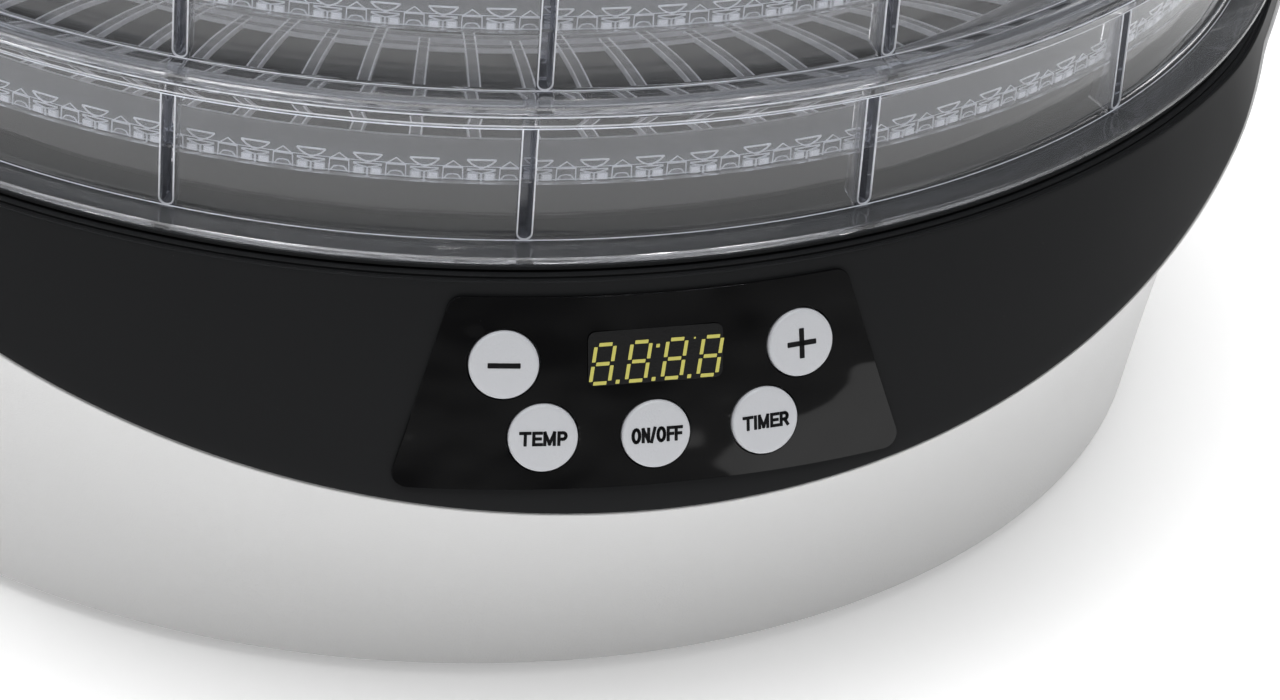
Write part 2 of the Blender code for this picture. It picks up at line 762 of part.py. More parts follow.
def make_bracket():
    bottom = MOTOR_TOP_Z + GAP
    top = bottom + BRACKET_THICKNESS
    mesh = lofted("motor_bracket", [bracket_outline(bottom), bracket_outline(top)], False)
    bracket = add_object("motor_bracket", mesh, STEEL, PART)
    holes = [rod_cutter("bracket_bore", 5 * MM, bottom - MM, top + MM)]
    for i, place in enumerate(motor_screw_places()):
        holes.append(
            rod_cutter(f"bracket_hole_{i}", SCREW_RADIUS + GAP, -2 * MM, 4 * MM, place)
        )
    cut(bracket, holes)
    for i, place in enumerate(motor_screw_places(), 1):
        screw(f"motor_screw_{i}", place)


def make_fan():
    shaft_top = FAN_BOTTOM_Z + FAN_HEIGHT - 2 * MM
    shaft = disc_profile(SHAFT_RADIUS, MOTOR_TOP_Z + GAP, shaft_top)
    add_object("motor_shaft", revolved("motor_shaft", shaft, SMALL_ROUND), STEEL, PART)
    bore = SHAFT_RADIUS + GAP
    hub = [
        (bore, FAN_BOTTOM_Z),
        (FAN_HUB_RADIUS, FAN_BOTTOM_Z),
        (FAN_HUB_RADIUS, FAN_BOTTOM_Z + FAN_HEIGHT - MM),
        (FAN_HUB_RADIUS - MM, FAN_BOTTOM_Z + FAN_HEIGHT),
        (0.0, FAN_BOTTOM_Z + FAN_HEIGHT),
        (0.0, shaft_top + GAP),
        (bore, shaft_top + GAP),
    ]
    fan = add_object("fan_impeller", revolved("fan_impeller", hub, 28), GREY, PART)
    blades = []
    length = FAN_RADIUS - FAN_HUB_RADIUS + 2 * MM
    for i in range(FAN_BLADES):
        size = (15 * MM, length, 1.4 * MM)
        centre = (0.0, -(FAN_HUB_RADIUS - 2 * MM) - length / 2, 0.0)
        blade = box_mesh("blade", size, centre)
        lift = Matrix.Translation((0.0, 0.0, FAN_BOTTOM_Z + FAN_HEIGHT / 2))
        pitch = Matrix.Rotation(math.radians(32.0), 4, "Y")
        turn = around(360.0 / FAN_BLADES * i)
        blades.append(cutter(f"fan_blade_{i}", blade, lift @ turn @ pitch))
    join(fan, blades)


def make_heater():
    span = 2 * (DUCT_RADIUS - 2 * GAP)
    middle = FRAME_BOTTOM_Z + FRAME_HEIGHT / 2
    plate = box_mesh("heater_frame", (span, 1.6 * MM, FRAME_HEIGHT), (0.0, 0.0, middle))
    frame = add_object("heater_frame", plate, MICA, PART, None, False)
    cross = box_mesh("cross", (1.6 * MM, span, FRAME_HEIGHT), (0.0, 0.0, middle))
    join(frame, [cutter("heater_cross", cross)])
    make_coil()
    top = FRAME_BOTTOM_Z + FRAME_HEIGHT + GAP
    profile = [
        (0.0, top),
        (8 * MM, top),
        (8 * MM, top + 2 * MM),
        (6.5 * MM, top + 2 * MM),
        (6.5 * MM, top + 5 * MM),
        (0.0, top + 5 * MM),
    ]
    add_object("thermostat", revolved("thermostat", profile, 20), TIN, PART)
    fuse = revolved("thermal_fuse", disc_profile(2 * MM, -6 * MM, 6 * MM), SMALL_ROUND)
    place = Matrix.Translation((27 * MM, 0.8 * MM + GAP + 2 * MM, middle))
    lie = Matrix.Rotation(math.radians(90.0), 4, "Y")
    add_object("thermal_fuse", fuse, MICA, PART, place @ lie)


def make_coil():
    """A flat spiral of wire that lies on the frame."""
    steps = 16 * COIL_TURNS
    height = FRAME_BOTTOM_Z + FRAME_HEIGHT + GAP + COIL_WIRE_RADIUS
    sections = []
    for i in range(steps + 1):
        share = i / steps
        radius = COIL_INNER_RADIUS + (COIL_OUTER_RADIUS - COIL_INNER_RADIUS) * share
        angle = 360.0 * COIL_TURNS * share
        section = []
        for k in range(COIL_SIDES):
            turn = math.tau * k / COIL_SIDES
            section.append(
                polar(
                    radius + COIL_WIRE_RADIUS * math.cos(turn),
                    angle,
                    height + COIL_WIRE_RADIUS * math.sin(turn),
                )
            )
        sections.append(section)
    add_object("heater_coil", lofted("heater_coil", sections, False), STEEL, PART)


# ---------------------------------------------------------------- trays and lid
def tray_profile():
    inner = TRAY_WALL_RADIUS - TRAY_WALL
    top = TRAY_PITCH - GAP
    floor_top = TRAY_FLOOR_Z + TRAY_FLOOR
    return [
        (inner, 0.0),
        (TRAY_RADIUS, 0.0),
        (TRAY_RADIUS, TRAY_FLANGE),
        (TRAY_WALL_RADIUS, TRAY_FLANGE),
        (TRAY_WALL_RADIUS, top - TRAY_RIM_HEIGHT),
        (TRAY_RADIUS - 0.3 * MM, top - TRAY_RIM_HEIGHT + MM),
        (TRAY_RADIUS - 0.3 * MM, top),
        (inner, top),
        (inner, floor_top),
        (TRAY_HOLE_RADIUS, floor_top),
        (TRAY_HOLE_RADIUS, TRAY_FLOOR_Z),
        (inner, TRAY_FLOOR_Z),
    ]


def tray_ribs(name):
    """Inward stacking ribs of the wall."""
    inner = TRAY_WALL_RADIUS - TRAY_WALL
    height = TRAY_PITCH - GAP - TRAY_RIM_HEIGHT - TRAY_FLOOR_Z - TRAY_FLOOR + MM
    centre = TRAY_FLOOR_Z + TRAY_FLOOR + height / 2 - 0.5 * MM
    ribs = []
    for i in range(TRAY_RIBS):
        size = (TRAY_RIB_WIDTH, TRAY_RIB_DEPTH, height)
        rib = box_mesh("rib", size, (0.0, -inner + TRAY_RIB_DEPTH / 2 - 0.8 * MM, centre))
        turn = around(TRAY_RIB_ANGLE + i * 360.0 / TRAY_RIBS)
        ribs.append(cutter(f"{name}_rib_{i}", rib, turn))
    return ribs


def tray_slots(name):
    floor = TRAY_FLOOR_Z + TRAY_FLOOR / 2
    slots = []
    for i in range(TRAY_SLOTS):
        sections = []
        for radius, half in ((32 * MM, 4 * MM), (TRAY_SLOT_RADIUS, 16 * MM)):
            low = floor - 3 * MM
            high = floor + 3 * MM
            lower = [(-half, -radius, low), (half, -radius, low)]
            upper = [(half, -radius, high), (-half, -radius, high)]
            sections.append(lower + upper)
        slot = lofted("slot", sections, False)
        turn = around((i + 0.5) * 360.0 / TRAY_SLOTS)
        slots.append(cutter(f"{name}_slot_{i}", slot, turn))
    return slots


def make_tray(index):
    name = f"tray_{index + 1}"
    rise = Matrix.Translation((0.0, 0.0, STACK_Z + TRAY_PITCH * index))
    tray = add_object(name, revolved(name, tray_profile(), TRAY_ROUND), CLEAR, PART)
    join(tray, tray_ribs(name))
    cut(tray, tray_slots(name))
    tray.matrix_world = STACK_BASE @ rise


def make_lid():
    wall_in = TRAY_WALL_RADIUS - TRAY_WALL
    roof = LID_WALL_HEIGHT
    crown = LID_WALL_HEIGHT + LID_CROWN
    thick = TRAY_WALL
    profile = [
        (wall_in, 0.0),
        (TRAY_RADIUS, 0.0),
        (TRAY_RADIUS, TRAY_FLANGE),
        (TRAY_WALL_RADIUS, TRAY_FLANGE),
        (TRAY_WALL_RADIUS - 2 * MM, roof),
        (LID_CROWN_RADIUS, crown),
        (22 * MM, crown),
        (16 * MM, crown + 7 * MM),
        (0.0, crown + 7 * MM),
        (0.0, crown + 7 * MM - thick),
        (14 * MM, crown + 7 * MM - thick),
        (20 * MM, crown - thick),
        (LID_CROWN_RADIUS, crown - thick),
        (wall_in - 3 * MM, roof - thick),
    ]
    lid = add_object("lid", revolved("lid", profile, TRAY_ROUND), CLEAR, PART)
    vents = []
    for i in range(LID_VENTS):
        vent = box_mesh("vent", (6 * MM, 44 * MM, 14 * MM), (0.0, -70 * MM, crown))
        vents.append(cutter(f"lid_vent_{i}", vent, around(360.0 / LID_VENTS * (i + 0.5))))
    cut(lid, vents)
    rise = Matrix.Translation((0.0, 0.0, STACK_Z + TRAY_PITCH * TRAY_COUNT))
    lid.matrix_world = STACK_BASE @ rise


clear_scene()
PART = new_collection("stacking_dryer")
CUTTERS = new_collection("cutters", hidden=True)

WHITE = material("white_shell", (0.78, 0.78, 0.77), 0.32)
BLACK = material("black_satin", (0.02, 0.02, 0.021), 0.42)
GLOSS_BLACK = material("black_gloss", (0.008, 0.008, 0.009), 0.12)
CAP = material("button_cap", (0.72, 0.72, 0.74), 0.35)
SMOKE = material("smoked_window", (0.03, 0.03, 0.03), 0.08, transmission=0.4)
CLEAR = material("clear_tray", (0.93, 0.94, 0.95), 0.05, transmission=1.0)
RUBBER = material("rubber", (0.03, 0.03, 0.03), 0.8)
BOARD = material("circuit_board", (0.02, 0.16, 0.06), 0.5)
STEEL = material("steel", (0.55, 0.55, 0.55), 0.35, 1.0)
TIN = material("aluminium", (0.7, 0.7, 0.7), 0.4, 1.0)
COPPER = material("transformer", (0.4, 0.2, 0.06), 0.5)
BLUE = material("relay_blue", (0.02, 0.1, 0.4), 0.45)
MICA = material("mica", (0.6, 0.52, 0.38), 0.6)
GREY = material("fan_plastic", (0.2, 0.2, 0.2), 0.5)

make_shell()
make_bottom_plate()
make_feet_and_screws()
make_gland()
make_power_board()
make_collar()
make_overlay()
make_window_and_display()
make_control_board()
for button in BUTTONS:
    make_button(*button)
make_deck()
make_grille()
make_duct()
make_motor()
make_bracket()
make_fan()
make_heater()
for number in range(TRAY_COUNT):
    make_tray(number)
make_lid()
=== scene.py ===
"""Studio view of the round stacking dryer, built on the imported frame."""

import math

import bmesh
import bpy
import numpy as np
from mathutils import Matrix, Vector


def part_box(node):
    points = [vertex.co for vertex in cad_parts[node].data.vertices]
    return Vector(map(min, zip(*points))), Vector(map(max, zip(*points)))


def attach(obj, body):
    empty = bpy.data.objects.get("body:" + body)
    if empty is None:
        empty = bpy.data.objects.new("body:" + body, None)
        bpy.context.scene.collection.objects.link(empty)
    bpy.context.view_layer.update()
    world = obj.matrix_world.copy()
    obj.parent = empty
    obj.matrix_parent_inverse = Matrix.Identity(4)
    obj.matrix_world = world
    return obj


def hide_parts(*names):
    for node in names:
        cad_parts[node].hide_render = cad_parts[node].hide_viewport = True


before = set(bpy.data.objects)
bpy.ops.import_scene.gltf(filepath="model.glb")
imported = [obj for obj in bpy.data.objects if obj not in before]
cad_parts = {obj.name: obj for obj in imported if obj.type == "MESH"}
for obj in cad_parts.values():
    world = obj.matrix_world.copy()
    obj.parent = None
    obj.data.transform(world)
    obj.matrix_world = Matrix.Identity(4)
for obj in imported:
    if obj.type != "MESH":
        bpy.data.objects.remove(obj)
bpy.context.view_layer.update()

# All sizes below are in millimetres, in the stack's own frame: the axis is x = y = 0, the
# base shell's lower edge is z = 0, and angles run from the panel's side towards +X.
TRAY_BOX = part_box("tray_1")
BASE_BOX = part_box("base_housing")
AXIS_Y = (TRAY_BOX[0].y + TRAY_BOX[1].y) / 2
FOOT = BASE_BOX[0].z
STACK_Z = (TRAY_BOX[0].z - FOOT) * 1000
TRAY_PITCH = (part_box("tray_2")[0].z - TRAY_BOX[0].z) * 1000
TRAYS = 5

COLLAR_R = 164.5
COLLAR_Z = 93.4
SLOPE = 0.268
TILT = math.atan(SLOPE)
EDGE_FRONT = 53.5
EDGE_RISE = 80.5
EDGE_SIDE = 90.0
SHELL_R = 143.3
DRAFT = 0.155
FLARE = 2.4
OVERLAY_LIFT = 0.70
BUTTONS = (
    ("minus", -8.85, 79.9, "-"),
    ("plus", 8.85, 79.9, "+"),
    ("temp", -6.5, 67.4, "TEMP"),
    ("power", 0.0, 67.2, "ON/OFF"),
    ("timer", 6.5, 67.4, "TIMER"),
)
WINDOW_Z = 80.7
WALL_R = 156.4
RIM_R = 162.5
RIBS = 16
RIB_ANGLE = -7.6
TEETH = 100
SLATS = 84
MM = Matrix.Diagonal((0.001, 0.001, 0.001, 1.0))


# ------------------------------------------------------------------ nodes
class Graph:
    """Short way to write a material's nodes."""

    def __init__(self, name):
        self.material = bpy.data.materials.new(name)
        self.material.use_nodes = True
        self.tree = self.material.node_tree
        self.shader = self.tree.nodes["Principled BSDF"]
        self.output = self.tree.nodes["Material Output"]
        self.coords = self.tree.nodes.new("ShaderNodeTexCoord").outputs["Object"]

    def set(self, **values):
        for key, value in values.items():
            socket = self.shader.inputs[key.replace("_", " ")]
            socket.default_value = (*value, 1.0) if isinstance(value, tuple) else value
        return self

    def noise(self, scale, detail=3.0, roughness=0.5, stretch=(1.0, 1.0, 1.0)):
        mapping = self.tree.nodes.new("ShaderNodeMapping")
        mapping.inputs["Scale"].default_value = stretch
        self.tree.links.new(self.coords, mapping.inputs["Vector"])
        node = self.tree.nodes.new("ShaderNodeTexNoise")
        node.inputs["Scale"].default_value = scale
        node.inputs["Detail"].default_value = detail
        node.inputs["Roughness"].default_value = roughness
        self.tree.links.new(mapping.outputs["Vector"], node.inputs["Vector"])
        return node.outputs["Fac"]

    def ramp(self, factor, low, high, start=0.3, end=0.7):
        node = self.tree.nodes.new("ShaderNodeMapRange")
        node.inputs["From Min"].default_value = start
        node.inputs["From Max"].default_value = end
        node.inputs["To Min"].default_value = low
        node.inputs["To Max"].default_value = high
        self.tree.links.new(factor, node.inputs["Value"])
        return node.outputs["Result"]

    def blend(self, factor, first, second):
        node = self.tree.nodes.new("ShaderNodeMix")
        node.data_type = "RGBA"
        node.inputs["A"].default_value = (*first, 1.0)
        node.inputs["B"].default_value = (*second, 1.0)
        self.tree.links.new(factor, node.inputs["Factor"])
        return node.outputs["Result"]

    def link(self, output, name):
        self.tree.links.new(output, self.shader.inputs[name])
        return self

    def bump(self, height, strength, distance):
        node = self.tree.nodes.new("ShaderNodeBump")
        node.inputs["Strength"].default_value = strength
        node.inputs["Distance"].default_value = distance
        self.tree.links.new(height, node.inputs["Height"])
        self.tree.links.new(node.outputs["Normal"], self.shader.inputs["Normal"])
        return self


def moulded(name, colour, roughness, variation=0.08, grain=0.0003, grain_scale=2600.0, **values):
    """Moulded plastic: slight colour drift, slight gloss drift and a fine grain."""
    graph = Graph(name).set(**values)
    drift = graph.noise(9.0, 4.0)
    darker = tuple(channel * (1.0 - variation) for channel in colour)
    graph.link(graph.blend(graph.ramp(drift, 0.0, 1.0), darker, colour), "Base Color")
    gloss = graph.noise(38.0, 4.0)
    graph.link(graph.ramp(gloss, roughness * 0.9, roughness * 1.1), "Roughness")
    graph.bump(graph.noise(grain_scale, 2.0), 0.25, grain)
    return graph.material


def metal(name, colour, roughness, stretch=(1.0, 1.0, 14.0)):
    graph = Graph(name).set(Metallic=1.0)
    grain = graph.noise(160.0, 4.0, stretch=stretch)
    dull = tuple(channel * 0.82 for channel in colour)
    graph.link(graph.blend(graph.ramp(grain, 0.0, 1.0), dull, colour), "Base Color")
    graph.link(graph.ramp(grain, roughness * 0.75, roughness * 1.25), "Roughness")
    graph.bump(grain, 0.2, 0.0002)
    return graph.material


def clear_plastic(name):
    """Clear polystyrene with a faintly uneven surface. Lamps shine through it."""
    graph = Graph(name).set(
        Base_Color=(0.97, 0.972, 0.985), Transmission_Weight=0.968, IOR=1.46
    )
    gloss = graph.noise(30.0, 3.0)
    graph.link(graph.ramp(gloss, 0.015, 0.06), "Roughness")
    graph.bump(graph.noise(26.0, 2.0, stretch=(1.0, 1.0, 0.6)), 0.35, 0.0012)
    path = graph.tree.nodes.new("ShaderNodeLightPath")
    through = graph.tree.nodes.new("ShaderNodeBsdfTransparent")
    through.inputs["Color"].default_value = (0.90, 0.92, 0.94, 1.0)
    mix = graph.tree.nodes.new("ShaderNodeMixShader")
    graph.tree.links.new(path.outputs["Is Shadow Ray"], mix.inputs["Fac"])
    graph.tree.links.new(graph.shader.outputs["BSDF"], mix.inputs[1])
    graph.tree.links.new(through.outputs["BSDF"], mix.inputs[2])
    graph.tree.links.new(mix.outputs["Shader"], graph.output.inputs["Surface"])
    return graph.material


def translucent(name, colour, through, roughness, painted_glow_strength=0.0):
    """Moulded edges and ribs of the clear plastic, which look pale. Their emission is painted light,
    a glow standing in for the light the edges gather.
    """
    graph = Graph(name).set(Transmission_Weight=through, IOR=1.4, Roughness=roughness)
    # Emission Strength here is a painted glow, not a lamp.
    graph.set(Emission_Color=colour, Emission_Strength=painted_glow_strength)
    tone = graph.ramp(graph.noise(420.0, 3.0), 0.0, 1.0)
    duller = tuple(channel * 0.8 for channel in colour)
    graph.link(graph.blend(tone, duller, colour), "Base Color")
    graph.bump(graph.noise(300.0, 2.0), 0.3, 0.0004)
    return graph.material


def film(name):
    """Glossy black overlay film, slightly wavy where it is stuck down, with a little dust."""
    graph = Graph(name).set(Specular_IOR_Level=0.34)
    dust = graph.noise(1500.0, 2.0, 0.7)
    speck = graph.ramp(dust, 0.0, 1.0, 0.74, 0.80)
    graph.link(graph.blend(speck, (0.0035, 0.0035, 0.0038), (0.03, 0.03, 0.03)), "Base Color")
    graph.link(graph.ramp(graph.noise(60.0), 0.02, 0.04), "Roughness")
    graph.bump(graph.noise(38.0, 1.8), 0.5, 0.0013)
    return graph.material


def glowing(name, colour, strength):
    graph = Graph(name).set(Base_Color=colour, Roughness=0.4)
    glow = graph.noise(900.0, 2.0)
    pale = tuple(min(1.0, channel * 1.12) for channel in colour)
    graph.link(graph.blend(graph.ramp(glow, 0.0, 1.0), colour, pale), "Emission Color")
    graph.set(Emission_Strength=strength)
    return graph.material


def satin_black(name):
    """Black moulded plastic with a satin face and specks of dust."""
    graph = Graph(name)
    dust = graph.ramp(graph.noise(1900.0, 2.0, 0.7), 0.0, 1.0, 0.755, 0.80)
    graph.set(Specular_IOR_Level=0.07)
    graph.link(graph.blend(dust, (0.0162, 0.0166, 0.0174), (0.06, 0.06, 0.06)), "Base Color")
    graph.link(graph.ramp(graph.noise(25.0, 4.0), 0.36, 0.46), "Roughness")
    graph.bump(graph.noise(2400.0, 2.0), 0.12, 0.00006)
    return graph.material


MATERIALS = {
    "white": moulded("white_gloss_plastic", (0.668, 0.666, 0.664), 0.34, 0.008),
    "black": satin_black("black_satin_plastic"),
    "film": film("overlay_film"),
    "cap": moulded("button_plastic", (0.66, 0.67, 0.70), 0.38, 0.02),
    "ink": moulded("black_print", (0.007, 0.007, 0.008), 0.5, Specular_IOR_Level=0.12),
    "clear": clear_plastic("clear_polystyrene"),
    # Edge lines: near-white and glowing with emission 0.05, a painted highlight along the moulded
    # edges.
    "edge": translucent("clear_edges_painted_glow", (0.90, 0.91, 0.96), 0.08, 0.15, 0.05),
    "frost": translucent("clear_floor", (0.40, 0.40, 0.415), 0.5, 0.22),
    # Squares under the teeth: near-white with emission 0.11, a painted highlight.
    "painted_glow_squares": translucent("clear_teeth_painted_glow", (0.95, 0.95, 0.99), 0.02, 0.1, 0.11),
    # Channel faces: a paler, hazier copy of the clear plastic, painted light standing in for light
    # coming through them from behind.
    "rib": translucent("clear_ribs", (0.62, 0.63, 0.69), 0.72, 0.1),
    "digit": glowing("lit_segment", (0.40, 0.37, 0.085), 0.50),
    "panel": moulded("display_face", (0.009, 0.009, 0.0095), 0.5, 0.3, Specular_IOR_Level=0.2),
    "rubber": moulded("rubber_black", (0.025, 0.025, 0.026), 0.75, 0.2, 0.0006, 900.0),
    "board": moulded("solder_mask", (0.015, 0.13, 0.05), 0.35, 0.3, 0.0004, 500.0),
    "steel": metal("plated_steel", (0.56, 0.56, 0.57), 0.3),
    "tin": metal("aluminium_sheet", (0.78, 0.78, 0.79), 0.35),
    "copper": moulded("varnished_winding", (0.36, 0.17, 0.05), 0.4, 0.3, 0.0008, 700.0),
    "blue": moulded("relay_case", (0.02, 0.09, 0.36), 0.35),
    "mica": moulded("mica_board", (0.58, 0.5, 0.36), 0.55, 0.35, 0.0004, 600.0),
    "grey": moulded("fan_plastic", (0.16, 0.16, 0.17), 0.45),
}


# ------------------------------------------------------------------ mesh helpers
def to_world(points):
    return np.asarray(points, float) * 0.001 + np.array([0.0, AXIS_Y, FOOT])


def polar(radius, angle, height):
    turn = np.radians(angle)
    return np.stack(
        np.broadcast_arrays(radius * np.sin(turn), -radius * np.cos(turn), height), -1
    )


def piece(name, points, faces, material, sharp=32.0):
    mesh = bpy.data.meshes.new(name)
    mesh.from_pydata([tuple(p) for p in points], [], faces)
    mesh.materials.append(MATERIALS[material])
    tidy = bmesh.new()
    tidy.from_mesh(mesh)
    bmesh.ops.recalc_face_normals(tidy, faces=tidy.faces)
    tidy.to_mesh(mesh)
    tidy.free()
    mesh.shade_smooth()
    mesh.set_sharp_from_angle(angle=math.radians(sharp))
    thing = bpy.data.objects.new(name, mesh)
    bpy.context.scene.collection.objects.link(thing)
    return thing


def dress(thing, groups):
    """Gives each run of faces its own material: groups holds (material, number of faces)."""
    mesh = thing.data
    mesh.materials.clear()
    found = np.zeros(len(mesh.polygons), np.int32)
    first = 0
    for slot, (material, count) in enumerate(groups):
        mesh.materials.append(MATERIALS[material])
        found[first : first + count] = slot
        first += count
    mesh.polygons.foreach_set("material_index", found)


def grid_faces(rows, columns, close_rows, close_columns, first=0):
    faces = []
    for i in range(rows if close_rows else rows - 1):
        near, far = first + i * columns, first + ((i + 1) % rows) * columns
        for j in range(columns if close_columns else columns - 1):
            k = (j + 1) % columns
            faces.append((near + j, far + j, far + k, near + k))
    return faces


def ring(name, angles, profile, material, sharp=32.0):
    """A closed outline carried round the axis. profile(angle) gives its (radius, height) pairs."""
    sections = []
    for angle in angles:
        radii, heights = np.array(profile(angle)).T
        sections.append(polar(radii, angle, heights))
    count = len(sections[0])
    faces = grid_faces(len(angles), count, True, True)
    return piece(name, to_world(np.concatenate(sections)), faces, material, sharp)


def arc(centre, radius, start, end, steps=5):
    """Points of a rounded corner, in (radius, height)."""
    turns = np.radians(np.linspace(start, end, steps))
    return [(centre[0] + radius * math.cos(t), centre[1] + radius * math.sin(t)) for t in turns]


def even_angles(count):
    return [360.0 * i / count for i in range(count)]


def cut(thing, others):
    for other in others:
        modifier = thing.modifiers.new("cut", "BOOLEAN")
        modifier.operation = "DIFFERENCE"
        modifier.solver = "EXACT"
        modifier.object = other
    bpy.context.view_layer.update()
    graph = bpy.context.evaluated_depsgraph_get()
    mesh = bpy.data.meshes.new_from_object(thing.evaluated_get(graph))
    thing.modifiers.clear()
    thing.data = mesh
    mesh.shade_smooth()
    mesh.set_sharp_from_angle(angle=math.radians(32.0))


def drop(things):
    for thing in things:
        bpy.data.objects.remove(thing, do_unlink=True)


def collar_radius(height):
    return COLLAR_R + SLOPE * (COLLAR_Z - height)


def edge_height(angle):
    """Height of the fascia's lower edge. It dips in front, a little left of the display."""
    off = angle + 0.8
    rise = EDGE_RISE if math.sin(math.radians(off)) > 0 else EDGE_RISE - 6.5
    return min(EDGE_FRONT + rise * (1.0 - math.cos(math.radians(off))), EDGE_SIDE)


def taper(angle):
    """How much nearer the axis the collar's skin stands at the sides and back."""
    off = abs((angle + 180.0) % 360.0 - 180.0)
    share = min(max((off - 48.0) / 14.0, 0.0), 1.0)
    return 1.8 * share * share * (3.0 - 2.0 * share)


def panel_frame(angle, height, lift=0.0):
    """World matrix on the fascia: +X across, +Y up the slope, +Z outwards. Units stay mm inside."""
    turn = math.radians(angle)
    across = Vector((math.cos(turn), math.sin(turn), 0.0))
    normal = Vector(
        (
            math.sin(turn) * math.cos(TILT),
            -math.cos(turn) * math.cos(TILT),
            math.sin(TILT),
        )
    )
    face = Matrix((across, normal.cross(across), normal)).transposed().to_4x4()
    spot = polar(collar_radius(height), angle, height) + np.array(normal) * lift
    face.translation = Vector(to_world(spot))
    return face @ MM


def turned(name, profile, material, place, steps=64, sharp=32.0):
    """A profile of (radius, height) in mm turned about the place's own Z axis."""
    turns = np.radians(np.arange(steps) * 360.0 / steps)
    profile = np.array(profile, float)
    points = np.stack(
        [
            np.outer(np.cos(turns), profile[:, 0]),
            np.outer(np.sin(turns), profile[:, 0]),
            np.tile(profile[:, 1], (steps, 1)),
        ],
        -1,
    ).reshape(-1, 3)
    thing = piece(name, points, grid_faces(steps, len(profile), True, False), material, sharp)
    tidy = bmesh.new()
    tidy.from_mesh(thing.data)
    bmesh.ops.remove_doubles(tidy, verts=tidy.verts, dist=0.0005)
    bmesh.ops.recalc_face_normals(tidy, faces=tidy.faces)
    tidy.to_mesh(thing.data)
    tidy.free()
    thing.data.transform(place)
    return thing


# ------------------------------------------------------------------ camera, lights, floor
def make_camera():
    """The studio camera: its place and aim in the stack's frame, in mm."""
    right = Vector((0.96824368, -0.24145252, 0.06484492))
    up = Vector((0.07378331, 0.52379066, 0.84864561))
    ahead = Vector((0.23887278, 0.81691127, -0.52497216))
    data = bpy.data.cameras.new("camera")
    data.lens = 146.45
    data.sensor_width = 36.0
    data.clip_start = 0.05
    data.clip_end = 60.0
    camera = bpy.data.objects.new("camera", data)
    place = Matrix((right, up, -ahead)).transposed().to_4x4()
    place.translation = Vector(to_world((-213.14, -887.80, 544.26)))
    camera.matrix_world = place
    bpy.context.scene.collection.objects.link(camera)
    bpy.context.scene.camera = camera


def softbox(name, place, aim, size, power, spread=180.0):
    data = bpy.data.lights.new(name, "AREA")
    data.spread = math.radians(spread)
    data.shape = "RECTANGLE"
    data.size, data.size_y = size
    data.energy = power
    lamp = bpy.data.objects.new(name, data)
    lamp.location = place
    direction = Vector(aim) - Vector(place)
    lamp.rotation_euler = direction.to_track_quat("-Z", "Y").to_euler()
    bpy.context.scene.collection.objects.link(lamp)


def make_studio():
    softbox("overhead", (-0.16, 0.1, 2.2), (0.0, 0.1, 0.0), (2.6, 2.6), 40.0, 130.0)
    softbox("side_left", (-2.1, -0.4, 1.2), (0.0, 0.0, 0.1), (0.5, 1.6), 0.8)
    softbox("side_right", (2.1, 0.3, 1.2), (0.0, 0.0, 0.1), (0.4, 1.6), 0.15)
    world = bpy.data.worlds.new("studio")
    world.use_nodes = True
    background = world.node_tree.nodes["Background"]
    background.inputs["Color"].default_value = (1.0, 1.0, 1.0, 1.0)
    background.inputs["Strength"].default_value = 0.16
    bpy.context.scene.world = world
    mesh = bpy.data.meshes.new("floor")
    span = 12.0
    corners = [(-span, -span, 0), (span, -span, 0), (span, span, 0), (-span, span, 0)]
    mesh.from_pydata(corners, [], [(0, 1, 2, 3)])
    graph = Graph("pale_floor").set(Roughness=0.9, Specular_IOR_Level=0.1)
    graph.set(Emission_Strength=0.35)
    length = graph.tree.nodes.new("ShaderNodeVectorMath")
    length.operation = "LENGTH"
    graph.tree.links.new(graph.coords, length.inputs[0])
    far = graph.ramp(length.outputs["Value"], 0.0, 1.0, 0.94, 0.99)
    graph.link(graph.blend(far, (0.95, 0.95, 0.95), (0.30, 0.30, 0.30)), "Base Color")
    graph.link(graph.blend(far, (1.0, 1.0, 1.0), (0.05, 0.05, 0.05)), "Emission Color")
    mesh.materials.append(graph.material)
    floor = bpy.data.objects.new("floor", mesh)
    bpy.context.scene.collection.objects.link(floor)
    scene = bpy.context.scene
    scene.view_settings.view_transform = "Standard"
    scene.cycles.max_bounces = 28
    scene.cycles.transmission_bounces = 24
    scene.cycles.transparent_max_bounces = 24


# ------------------------------------------------------------------ base
def shell_radius(height, angle):
    edge = edge_height(angle)
    flare = collar_radius(edge) - taper(angle) - SHELL_R - DRAFT * edge
    return SHELL_R + DRAFT * height + flare * max(height / edge, 0.0) ** FLARE


def shell_profile(angle):
    edge = edge_height(angle) - 0.15
    points = [(SHELL_R - 0.4, 0.0), (SHELL_R + 0.05, 0.45)]
    for share in np.linspace(0.03, 1.0, 22):
        height = 0.45 + (edge - 1.35) * share
        points.append((shell_radius(height, angle), height))
    top = shell_radius(edge - 0.9, angle)
    points += [(top + 0.3, edge - 0.85), (top + 0.6, edge - 0.6), (top + 0.6, edge - 0.35)]
    points += [(top + 0.35, edge - 0.08), (top - 0.2, edge), (top - 1.8, edge)]
    for share in (0.9, 0.7, 0.5, 0.3):
        points.append((shell_radius(edge * share, angle) - 2.6, edge * share))
    points += [(141.3, 6.0), (129.0, 6.0), (129.0, 3.6), (140.7, 3.5), (140.7, 0.0)]
    return points


def make_shell():
    shell = ring("shell_white", even_angles(240), shell_profile, "white", 40.0)
    hole = turned(
        "hole",
        [(0.0, -14.0), (6.2, -14.0), (6.2, 14.0), (0.0, 14.0)],
        "white",
        rear_frame(),
        40,
    )
    cut(shell, [hole])
    drop([hole])
    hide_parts("base_housing")
    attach(shell, "base")


def rear_frame():
    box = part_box("cord_gland")
    middle = (box[0] + box[1]) / 2
    place = Matrix.Rotation(math.radians(-90.0), 4, "X")
    place.translation = Vector((middle.x, box[1].y - 0.009, middle.z))
    return place @ MM


